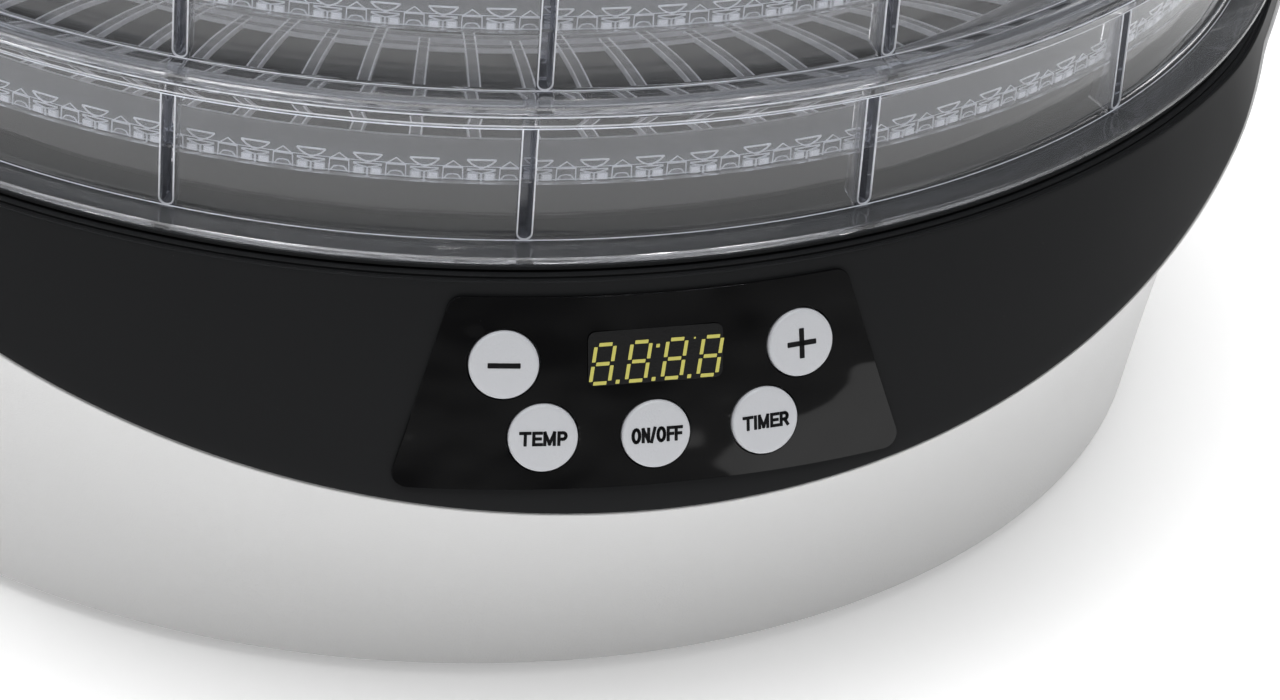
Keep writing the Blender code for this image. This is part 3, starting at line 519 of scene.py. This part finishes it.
def make_gland():
    profile = [(3.5, -8.0), (5.9, -8.0), (5.9, 0.2), (8.4, 0.3)]
    profile += arc((8.4, 0.9), 0.6, -90.0, 90.0)
    profile += [(7.6, 1.6), (6.6, 2.1)]
    for groove in (3.0, 4.6, 6.2):
        profile += [(6.4 - 0.15 * groove, groove), (5.3, groove + 0.2), (5.3, groove + 0.8)]
        profile += [(6.2 - 0.15 * groove, groove + 1.0)]
    profile += [(4.9, 8.4), (4.4, 9.0), (3.5, 9.0), (3.5, -8.0)]
    gland = turned("cord_bush", profile, "rubber", rear_frame(), 48)
    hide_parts("cord_gland")
    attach(gland, "base")


def collar_profile(angle):
    edge = edge_height(angle)
    foot = collar_radius(edge)
    points = [(155.6, 95.1), (156.0, 95.5), (161.3, 95.5), (161.75, 95.1), (161.8, 94.5)]
    points += [(160.9, 94.35), (160.9, 93.95), (162.5, 93.9), (162.8, 93.75), (162.8, 93.35)]
    points += [(163.5, 93.3), (163.7, 93.55), (164.1, 93.65), (164.45, 93.5), (164.6, 93.1)]
    for share in np.linspace(0.02, 1.0, 16):
        height = 93.0 + (edge + 0.5 - 93.0) * share
        points.append((collar_radius(height), height))
    points += [(foot - 0.1, edge + 0.15), (foot - 0.5, edge), (foot - 2.4, edge)]
    points += [(collar_radius(91.2) - 2.4, 91.2), (158.0, 91.2), (158.0, 87.0)]
    points += [(150.5, 87.0), (150.5, 89.0), (155.5, 89.0)]
    inset = taper(angle) / 6.5
    return [(radius - inset * max(radius - 158.0, 0.0), height) for radius, height in points]


def button_holes(names):
    holes = []
    for name, angle, height, _ in BUTTONS:
        profile = [(0.0, -7.0), (6.3, -7.0), (6.3, 7.0), (0.0, 7.0)]
        place = panel_frame(angle, height)
        holes.append(turned(f"{names}_{name}", profile, "black", place, 64))
    return holes


def block(name, size, place, material):
    half = np.array(size) / 2
    corners = [(x, y, z) for x in (-1, 1) for y in (-1, 1) for z in (-1, 1)]
    points = np.array(corners) * half
    faces = [(0, 1, 3, 2), (4, 6, 7, 5), (0, 4, 5, 1), (2, 3, 7, 6), (0, 2, 6, 4), (1, 5, 7, 3)]
    thing = piece(name, points, faces, material)
    thing.data.transform(place)
    return thing


def make_collar():
    collar = ring("collar_black", even_angles(288), collar_profile, "black")
    holes = button_holes("collar_hole")
    holes.append(block("window_hole", (24.2, 10.2, 16.0), panel_frame(0.0, WINDOW_Z), "black"))
    cut(collar, holes)
    drop(holes)
    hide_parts("collar")
    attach(collar, "base")


def rounded_outline(corners, radius, steps=8):
    """A convex outline with its corners rounded."""
    points = []
    count = len(corners)
    for i, corner in enumerate(corners):
        corner = Vector(corner)
        before = (Vector(corners[i - 1]) - corner).normalized()
        after = (Vector(corners[(i + 1) % count]) - corner).normalized()
        half = before.angle(after) / 2
        centre = corner + (before + after).normalized() * (radius / math.sin(half))
        start = corner + before * (radius / math.tan(half)) - centre
        end = corner + after * (radius / math.tan(half)) - centre
        for step in range(steps + 1):
            points.append(centre + start.slerp(end, step / steps) * start.length)
    return points


def overlay_points(outline, inset, lift):
    """The outline (across, up the slope from the collar's top) laid on the cone."""
    centre = sum(outline, Vector((0, 0))) / len(outline)
    found = []
    for point in outline:
        near = point + (centre - point).normalized() * inset
        height = COLLAR_Z + near.y * math.cos(TILT)
        angle = math.degrees(near.x / 168.0)
        radius = collar_radius(height) + lift * math.cos(TILT)
        found.append(polar(radius, angle, height + lift * math.sin(TILT)))
    return np.array(found)


def make_overlay():
    corners = [(-44.6, -36.3), (44.6, -36.3), (35.4, -2.2), (-35.4, -2.2)]
    outline = rounded_outline(corners, 2.6)
    dense = []
    for a, b in zip(outline, outline[1:] + outline[:1]):
        steps = max(1, int((b - a).length / 1.2))
        dense += [a.lerp(b, step / steps) for step in range(steps)]
    centre = sum(dense, Vector((0, 0))) / len(dense)
    top_rings, under_rings, underside = 15, 8, -0.2

    def shrunk(share):
        return [centre + (point - centre) * float(share) for point in dense]

    edge = ((0.0, underside), (0.0, OVERLAY_LIFT - 0.18), (0.16, OVERLAY_LIFT))
    layers = [overlay_points(dense, inset, lift) for inset, lift in edge]
    for share in np.linspace(0.94, 0.06, top_rings):
        layers.append(overlay_points(shrunk(share), 0.0, OVERLAY_LIFT))
    for share in np.linspace(0.06, 0.94, under_rings):
        layers.append(overlay_points(shrunk(share), 0.0, underside))
    count = len(dense)
    points = np.concatenate(layers)
    upper = len(edge) + top_rings
    last = (upper + under_rings - 1) * count
    faces = grid_faces(upper, count, False, True)
    faces += grid_faces(under_rings, count, False, True, upper * count)
    for j in range(count):
        k = (j + 1) % count
        faces.append((j, k, last + k, last + j))
    faces.append(tuple(range((upper - 1) * count, upper * count)))
    faces.append(tuple(range(upper * count, (upper + 1) * count)))
    overlay = piece("overlay_film", to_world(points), faces, "film", 45.0)
    holes = button_holes("overlay_hole")
    cut(overlay, holes)
    drop(holes)
    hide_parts("control_overlay", "display_window")
    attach(overlay, "base")


# ------------------------------------------------------------------ buttons and display
def bars(name, sizes, place, material):
    """Rounded strokes: (centre x, centre y, length, breadth, turn in degrees), 0.05 mm high."""
    points, faces = [], []
    for x, y, length, breadth, turn in sizes:
        cosine, sine = math.cos(math.radians(turn)), math.sin(math.radians(turn))
        right, top = length / 2, breadth / 2
        corners = [(-right, -top), (right, -top), (right, top), (-right, top)]
        outline = []
        for px, py in rounded_outline(corners, breadth * 0.14, 3):
            outline.append((x + px * cosine - py * sine, y + px * sine + py * cosine))
        first = len(points)
        count = len(outline)
        points += [(px, py, -0.02) for px, py in outline]
        points += [(px, py, 0.03) for px, py in outline]
        faces.append(tuple(range(first, first + count)))
        faces.append(tuple(range(first + count, first + 2 * count)))
        for j in range(count):
            k = (j + 1) % count
            faces.append((first + j, first + k, first + count + k, first + count + j))
    thing = piece(name, points, faces, material)
    thing.data.transform(place)
    return thing


def ellipse(x, y, wide, tall, degrees):
    turns = [math.radians(t) for t in degrees]
    return [(x + wide * math.cos(t), y + tall * math.sin(t)) for t in turns]


def curve_strokes(points):
    return tuple((*a, *b) for a, b in zip(points, points[1:]))


# Each letter is its width and its strokes, from (x, y) to (x, y), between heights 0 and 2.
STEM = ((0.1, 0, 0.1, 2),)
OVAL = curve_strokes(ellipse(0.85, 1.0, 0.72, 1.03, range(0, 361, 20)))
BOWL = curve_strokes(
    [(0.1, 2.0), *ellipse(0.75, 1.45, 0.52, 0.55, range(80, -81, -20)), (0.1, 0.9)]
)
LETTERS = {
    "T": (1.55, ((0, 2, 1.55, 2), (0.775, 0, 0.775, 2))),
    "E": (1.3, (*STEM, (0.1, 2, 1.35, 2), (0.1, 1, 1.2, 1), (0.1, 0, 1.4, 0))),
    "F": (1.2, (*STEM, (0.1, 2, 1.25, 2), (0.1, 1, 1.1, 1))),
    "I": (0.2, STEM),
    "M": (1.8, (*STEM, (0.1, 2, 0.9, 0.1), (0.9, 0.1, 1.7, 2), (1.7, 0, 1.7, 2))),
    "N": (1.4, (*STEM, (0.1, 2, 1.3, 0), (1.3, 0, 1.3, 2))),
    "O": (1.7, OVAL),
    "P": (1.3, STEM + BOWL),
    "R": (1.4, (*STEM, *BOWL, (0.75, 0.9, 1.35, 0.0))),
    "/": (0.7, ((0.0, -0.1, 0.7, 2.1),)),
}
LETTER_GAP = 0.58


def word_strokes(text, width, height, thick):
    """Strokes of a printed word as bars, centred, in mm."""
    strokes, x = [], 0.0
    for letter in text:
        advance, lines = LETTERS[letter]
        strokes += [(x + a, b, x + c, d) for a, b, c, d in lines]
        x += advance + LETTER_GAP
    x -= LETTER_GAP
    grow, rise = (width - thick) / x, (height - thick) / 2
    found = []
    for a, b, c, d in strokes:
        a, c = (a - x / 2) * grow, (c - x / 2) * grow
        b, d = (b - 1) * rise, (d - 1) * rise
        length = math.hypot(c - a, d - b) + thick
        turn = math.degrees(math.atan2(d - b, c - a))
        found.append(((a + c) / 2, (b + d) / 2, length, thick, turn))
    return found


def make_buttons():
    labels = {"TEMP": (8.3, 2.6), "ON/OFF": (9.1, 2.7), "TIMER": (8.6, 2.6)}
    word_line, sign_line = 0.56, 0.92
    for name, angle, height, text in BUTTONS:
        body = f"button_{name}"
        place = panel_frame(angle, height)
        profile = [(0.0, -7.4), (2.2, -7.4), (2.2, -4.2), (7.4, -4.2), (7.4, -3.0)]
        profile += [(5.98, -3.0), (5.98, 0.9)]
        profile += arc((5.43, 0.9), 0.55, 0.0, 80.0, 7)
        profile += [(4.9, 1.48), (0.0, 1.5)]
        cap = turned(f"cap_{name}", profile, "cap", place, 80, 50.0)
        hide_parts(body)
        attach(cap, body)
        if text in labels:
            strokes = word_strokes(text, *labels[text], word_line)
        elif text == "-":
            strokes = [(0.0, 0.0, 5.6, sign_line, 0.0)]
        else:
            strokes = [(0.0, 0.0, 5.4, sign_line, turn) for turn in (0.0, 90.0)]
        face = panel_frame(angle, height, 1.5)
        mark = bars(f"label_{name}", strokes, face, "ink")
        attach(mark, body)


def segment_strokes(middle):
    """All seven segments of a digit, before it leans."""
    wide, tall, thick = 3.3, 3.4, 0.62
    strokes = []
    for y in (-tall, 0.0, tall):
        strokes.append((middle, y, wide - 1.0, thick, 0.0))
    for x in (-wide / 2, wide / 2):
        for y in (-tall / 2, tall / 2):
            strokes.append((middle + x, y, tall - 0.75, thick, 90.0))
    return strokes


def make_display():
    face = panel_frame(0.0, WINDOW_Z, OVERLAY_LIFT + 0.05)
    lean = Matrix.Identity(4)
    lean[0][1] = math.tan(math.radians(9.0))
    shift = Matrix.Translation((0.1, -0.9, 0.0))
    strokes = []
    middles = [-9.35 + 6.27 * i for i in range(4)]
    for middle in middles:
        strokes += segment_strokes(middle)
    for middle in middles[:-1]:
        strokes.append((middle + 3.1, -3.35, 0.68, 0.68, 0.0))
    strokes.append((-0.1, 2.5, 0.62, 0.62, 0.0))
    strokes.append((6.2, 3.4, 0.3, 0.3, 0.0))
    pane = [(0.0, 0.0, 23.6, 9.6, 0.0)]
    window = bars("display_pane", pane, panel_frame(0.0, WINDOW_Z, OVERLAY_LIFT - 0.01), "panel")
    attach(window, "base")
    digits = bars("display_segments", strokes, face @ shift @ lean, "digit")
    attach(digits, "base")


# ------------------------------------------------------------------ trays and lid
def rib_depth(angle):
    """How far the wall turns in at this angle: 16 narrow stacking channels."""
    step = 360.0 / RIBS
    off = abs((angle - RIB_ANGLE + step / 2) % step - step / 2)
    inner, outer = 0.27, 0.5
    if off >= outer:
        return 0.0
    if off <= inner:
        return 4.0
    share = (outer - off) / (outer - inner)
    return 4.0 * math.sin(share * math.pi / 2)


def tray_angles():
    step = 360.0 / RIBS
    found = []
    for i in range(RIBS):
        start = RIB_ANGLE + i * step
        found += [start + off for off in (-0.52, -0.49, -0.44, -0.36, -0.27, 0.0, 0.27)]
        found += [start + off for off in (0.36, 0.44, 0.49, 0.52)]
        found += [start + off for off in np.linspace(2.3, step - 2.3, 14)]
    return found


def tray_profile(angle):
    dip = rib_depth(angle)
    top = TRAY_PITCH - 0.3
    points = [(158.6, 0.0), (RIM_R - 0.3, 0.0), (RIM_R, 0.35), (RIM_R - 0.1, 0.9)]
    points += [(RIM_R - 0.5, 1.15), (157.0, 1.25), (156.6 - dip * 0.8, 1.4)]
    points += [(WALL_R - dip, 1.8), (WALL_R - dip, 12.0), (WALL_R - dip, top - 5.2)]
    points += [(156.7 - dip * 0.9, top - 4.5), (157.3 - dip * 0.4, top - 4.0)]
    points += [(159.8, top - 3.6), (160.8, top - 3.1), (161.2, top - 2.5), (162.0, top - 2.2)]
    points += [(162.2, top - 1.8), (162.2, top - 0.6), (161.9, top - 0.1)]
    points += [(161.3, top), (159.6, top), (159.3, top - 0.7), (156.6, top - 0.9)]
    points += [(155.6, top - 1.2), (154.2, top - 1.6)]
    points += [(153.7 - dip * 0.8, top - 5.4), (154.7 - dip, top - 6.2), (154.7 - dip, 12.0)]
    points += [(154.9 - dip, 1.2), (155.8 - dip * 0.5, 0.3)]
    return points


def wedge(sections):
    """Points and faces of a closed bar through sections of equal point counts."""
    count = len(sections[0])
    points = [tuple(p) for section in sections for p in section]
    faces = grid_faces(len(sections), count, False, True)
    faces.append(tuple(range(count)))
    faces.append(tuple(range((len(sections) - 1) * count, len(sections) * count)))
    return points, faces


def radial_prism(angle, reach, outline):
    """An outline of (across, height) carried from one radius to another."""
    turn = math.radians(angle)
    out = np.array([math.sin(turn), -math.cos(turn), 0.0])
    side = np.array([math.cos(turn), math.sin(turn), 0.0])
    up = np.array([0.0, 0.0, 1.0])
    sections = []
    for radius, narrow in reach:
        sections.append([out * radius + side * x * narrow + up * z for x, z in outline])
    return wedge(sections)


def gather(parts):
    points, faces = [], []
    for more_points, more_faces in parts:
        first = len(points)
        points += more_points
        faces += [tuple(first + i for i in face) for face in more_faces]
    return points, faces


def hoop(profile, steps):
    points = []
    for angle in even_angles(steps):
        for radius, height in profile:
            points.append(tuple(polar(radius, angle, height)))
    return points, grid_faces(steps, len(profile), True, True)


def ridge(path, width, radius):
    """A fine raised line on the wall. path holds (across, height) at the given radius."""
    sections = []
    for i, point in enumerate(path):
        before, after = path[max(i - 1, 0)], path[min(i + 1, len(path) - 1)]
        run = Vector((after[0] - before[0], after[1] - before[1])).normalized() * (width / 2)
        section = []
        for side, out in ((1, -1), (1, 1), (-1, 1), (-1, -1)):
            across = point[0] - run.y * side
            height = point[1] + run.x * side
            angle = math.degrees(across / radius)
            section.append(tuple(polar(radius + out * width / 2, angle, height)))
        sections.append(section)
    return wedge(sections)


def spun(part, angle):
    points, faces = part
    turn = math.radians(angle)
    cosine, sine = math.cos(turn), math.sin(turn)
    return [(x * cosine - y * sine, x * sine + y * cosine, z) for x, y, z in points], faces


def rib_lines():
    """Rounded outline of each stacking channel, and the lines of the ledge and the rim."""
    side, low, high = 1.28, 2.75, TRAY_PITCH - 5.0
    turns = [math.radians(t) for t in range(180, 361, 18)]
    path = [(-side, high), (-side, 12.0), (-side, low)]
    path += [(side * math.cos(t), low + side * math.sin(t)) for t in turns[1:-1]]
    path += [(side, low), (side, 12.0), (side, high)]
    line = ridge(path, 0.26, WALL_R + 0.02)
    parts = [spun(line, RIB_ANGLE + i * 360.0 / RIBS) for i in range(RIBS)]
    top = TRAY_PITCH - 0.3
    rings = ((156.55, 1.35, 0.26), (162.2, top - 1.9, 0.3))
    rings += ((162.15, top - 0.3, 0.3), (159.9, top - 3.75, 0.24), (156.7, top - 4.6, 0.18))
    for radius, height, size in rings:
        half = size / 2
        profile = [(radius - half, height), (radius, height - half)]
        profile += [(radius + half, height), (radius, height + half)]
        parts.append(hoop(profile, 240))
    return gather(parts)


def tooth_lines(foot):
    """One period of the moulded row of teeth round the floor: a bowl and a little gable."""
    radius, fine = 151.9, 0.2
    parts = []

    def line(points, width=fine):
        path = [(x, foot + z) for x, z in points]
        parts.append(ridge(path, width, radius))

    for side in (-1, 1):
        near, far = side * 0.62, side * 2.35
        line([(near, 0.35), (far, 0.35), (far, 1.7), (near, 1.7), (near, 0.35)], 0.16)
    line([(0.0, 0.1), (0.0, 2.0)], 0.3)
    line([(-2.4, 2.8), (2.4, 2.8)])
    line([(-2.4, 2.65), (-1.2, 2.25), (0.0, 1.95), (1.2, 2.25), (2.4, 2.65)])
    line([(-2.45, 4.7), (2.45, 4.7)], 0.26)
    line([(-2.45, 4.7), (-1.7, 3.9), (-0.9, 3.4), (0.0, 3.05)], 0.24)
    line([(2.45, 4.7), (1.7, 3.9), (0.9, 3.4), (0.0, 3.05)], 0.24)
    half = math.radians(180.0 / TEETH) * radius
    gable = [(-1.7, 0.2), (-1.62, 3.1), (0.0, 4.4), (1.62, 3.1), (1.7, 0.2)]
    line([(half + x, z) for x, z in gable])
    line([(half - 1.62, 3.1), (half + 1.62, 3.1)], 0.26)
    arch = [(-1.4, 0.5), (-0.9, 1.25), (0.0, 1.5), (0.9, 1.25), (1.4, 0.5)]
    line([(half + x, z) for x, z in arch])
    return gather(parts)


def tooth_squares(foot):
    """Little faces under each bowl of the row of teeth. Their near-white glowing material is a
    painted highlight.
    """
    parts = []
    for middle in (-1.48, 1.48):
        parts.append(ridge([(middle, foot + 0.4), (middle, foot + 1.65)], 1.5, 151.3))
    return gather(parts)


def tray_plates(low, high):
    """Floor of the tray: rings and slats with open gaps between them."""
    parts = []
    for inner, outer in ((135.6, 151.0), (108.6, 111.4), (103.0, 106.0), (64.0, 67.0), (16.0, 24.0)):
        profile = [(inner, low), (outer, low), (outer, high - 0.3), (inner, high - 0.3)]
        parts.append(hoop(profile, 240))
    profile = [(150.4, 10.2), (151.3, 10.2), (151.3, 13.0), (150.4, 13.0)]
    parts.append(hoop(profile, 240))
    for i in range(SLATS):
        angle = 360.0 / SLATS * i - 2.0
        inner = 20.0 if i % 4 == 0 else (65.0 if i % 2 == 0 else 104.0)
        slat = [(-0.85, low), (0.85, low), (0.85, high - 0.25), (-0.85, high - 0.25)]
        parts.append(radial_prism(angle, ((inner, 0.9), (136.2, 1.0)), slat))
    return gather(parts)


def tray_slat_lines(low, high):
    """Rounded edges of the slats and of the floor's rings."""
    parts = []
    for i in range(SLATS):
        angle = 360.0 / SLATS * i - 2.0
        inner = 24.5 if i % 4 == 0 else (67.5 if i % 2 == 0 else 106.5)
        for side in (-1, 1):
            edge = [(side * 0.98 - 0.17, low), (side * 0.98 + 0.17, low)]
            edge += [(side * 0.98 + 0.13, high), (side * 0.98 - 0.13, high)]
            parts.append(radial_prism(angle, ((inner, 0.9), (135.6, 1.0)), edge))
    for radius in (135.6, 111.4, 108.6, 106.0, 103.0, 67.0, 64.0, 24.0):
        profile = [(radius - 0.16, low), (radius + 0.16, low), (radius, high + 0.05)]
        parts.append(hoop(profile, 240))
    for radius, height in ((151.3, 10.2), (151.2, 13.0)):
        profile = [(radius - 0.12, height), (radius, height - 0.12)]
        profile += [(radius + 0.12, height), (radius, height + 0.12)]
        parts.append(hoop(profile, 240))
    return gather(parts)


def make_trays():
    angles = tray_angles()
    sections = []
    for angle in angles:
        outline = np.array(tray_profile(angle))
        sections.append(polar(outline[:, 0], angle, outline[:, 1]))
    wall = [tuple(p) for p in np.concatenate(sections)]
    count = len(sections[0])
    wall_faces = grid_faces(len(angles), count, True, True)
    per_rib = len(angles) // RIBS
    # The channel faces chosen here take the paler rib material, which is painted light.
    columns, rows = range(10), range(5, 11)
    in_rib = []
    for k in range(len(wall_faces)):
        in_rib.append((k // count) % per_rib in columns and k % count in rows)
    rib_faces = [face for face, inside in zip(wall_faces, in_rib) if inside]
    clear = (wall, [face for face, inside in zip(wall_faces, in_rib) if not inside])
    clear = gather([clear, hoop([(151.2, 11.5), (154.8, 11.5), (154.8, 12.1), (151.2, 12.1)], 240)])
    floor_low, floor_high, tooth_foot = 10.6, 12.1, 10.1
    turns = [0.4 + 360.0 / TEETH * i for i in range(TEETH)]
    frost = tray_plates(floor_low, floor_high)
    tooth, square = tooth_lines(tooth_foot), tooth_squares(tooth_foot)
    teeth = [spun(tooth, turn) for turn in turns]
    # These ridges take the pale edge material, whose glow is painted light.
    edges = gather([tray_slat_lines(floor_low, floor_high), rib_lines(), *teeth])
    # The squares get the glowing material: painted highlight.
    painted_glow_squares = gather([spun(square, turn) for turn in turns])
    points, faces = gather([clear, frost, edges, painted_glow_squares])
    faces += rib_faces
    groups = (("clear", len(clear[1])), ("frost", len(frost[1])), ("edge", len(edges[1])))
    groups += (("painted_glow_squares", len(painted_glow_squares[1])), ("rib", len(rib_faces)))
    for i in range(TRAYS):
        turn = 0.0 if i == 0 else 0.7 * (-1) ** (i + 1)
        name = f"tray_{i + 1}"
        tray = piece(f"clear_{name}", points, faces, "clear", 28.0)
        dress(tray, groups)
        lift = Matrix.Translation((0.0, AXIS_Y, FOOT + (STACK_Z + TRAY_PITCH * i) * 0.001))
        spin = Matrix.Rotation(math.radians(turn), 4, "Z")
        tray.data.transform(lift @ spin @ MM)
        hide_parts(name)
        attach(tray, name)


def make_lid():
    top = 14.0
    profile = [(155.2, 0.4), (155.6, 0.0), (RIM_R - 0.3, 0.0), (RIM_R, 0.35), (RIM_R - 0.1, 1.0)]
    profile += [(RIM_R - 0.5, 1.3), (157.2, 1.35), (156.5, 1.9), (155.6, 7.4), (154.9, 8.4)]
    profile += [(153.6, 9.1)]
    for radius in (146.0, 138.0, 128.0, 118.0, 110.0):
        profile.append((radius, 9.2 + (top - 9.2) * (1 - ((radius - 108.0) / 46.0) ** 2)))
    profile += [(104.0, top), (102.5, top - 0.9), (100.5, top - 0.9), (99.0, top)]
    profile += [(42.0, top), (40.5, top - 0.9), (38.5, top - 0.9), (37.0, top), (24.0, top)]
    profile += arc((20.5, top + 2.2), 2.2, -90.0, -180.0, 6)
    profile += [(18.0, top + 5.2)]
    profile += arc((15.6, top + 5.2), 1.8, 0.0, 90.0, 6)
    profile += [(0.05, top + 7.0), (0.05, top + 5.0), (14.0, top + 5.0), (16.0, top + 3.6)]
    profile += [(16.6, top - 1.4), (20.0, top - 2.0), (108.0, top - 2.0)]
    profile += [(128.0, top - 3.0), (146.0, 8.0), (152.4, 6.8), (154.2, 4.6)]
    lid = ring("clear_lid", even_angles(224), lambda angle: profile, "clear", 28.0)
    vents = []
    lift = Matrix.Translation((0.0, AXIS_Y, FOOT + (STACK_Z + TRAY_PITCH * TRAYS) * 0.001))
    rise = Matrix.Translation((0.0, 0.0, (STACK_Z + TRAY_PITCH * TRAYS) * 0.001))
    lid.data.transform(rise)
    for i in range(12):
        spin = Matrix.Rotation(math.radians(30.0 * i + 15.0), 4, "Z")
        outline = rounded_outline([(-3, -92), (3, -92), (3, -48), (-3, -48)], 2.9, 6)
        sections = [[(p.x, p.y, z) for p in outline] for z in (top - 8.0, top + 6.0)]
        points, faces = wedge(sections)
        vent = piece(f"vent_{i}", points, faces, "clear")
        vent.data.transform(lift @ spin @ MM)
        vents.append(vent)
    cut(lid, vents)
    drop(vents)
    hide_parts("lid")
    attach(lid, "lid")


# ------------------------------------------------------------------ deck and inner pieces
def make_deck():
    profile = [(155.2, 89.4), (155.2, 91.5), (154.9, 91.8), (143.0, 91.8), (142.4, 91.2)]
    profile += [(141.4, 91.2), (140.8, 91.8), (126.0, 91.8), (125.4, 91.2), (124.4, 91.2)]
    profile += [(123.8, 91.8), (112.6, 91.8), (111.2, 91.6), (81.0, 86.6), (79.4, 86.5)]
    profile += [(50.6, 86.5), (50.0, 87.0), (50.0, 89.6), (49.6, 90.0), (47.8, 90.0)]
    profile += [(47.4, 89.6), (47.4, 86.2), (44.0, 86.2), (44.0, 84.0), (81.0, 84.0)]
    profile += [(113.0, 89.3)]
    deck = ring("deck_black", even_angles(240), lambda angle: profile, "black")
    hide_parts("top_deck")
    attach(deck, "base")


def finish_nodes():
    """Materials of the CAD nodes that show as they are."""
    kinds = (
        ("rubber", ("foot",)),
        ("steel", ("screw", "motor_bracket", "motor_shaft", "heater_coil")),
        ("tin", ("heat_shield", "fan_motor", "thermostat")),
        ("board", ("control_board", "power_board")),
        ("copper", ("transformer",)),
        ("blue", ("relay",)),
        ("mica", ("heater_frame", "thermal_fuse")),
        ("grey", ("fan_impeller",)),
        ("black", ("bottom_plate", "outlet_grille", "switch", "display_module")),
    )
    for name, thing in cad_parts.items():
        for material, words in kinds:
            if any(word in name for word in words):
                thing.data.materials.clear()
                thing.data.materials.append(MATERIALS[material])
                break


make_camera()
make_studio()
make_shell()
make_gland()
make_collar()
make_overlay()
make_buttons()
make_display()
make_deck()
make_trays()
make_lid()
finish_nodes()
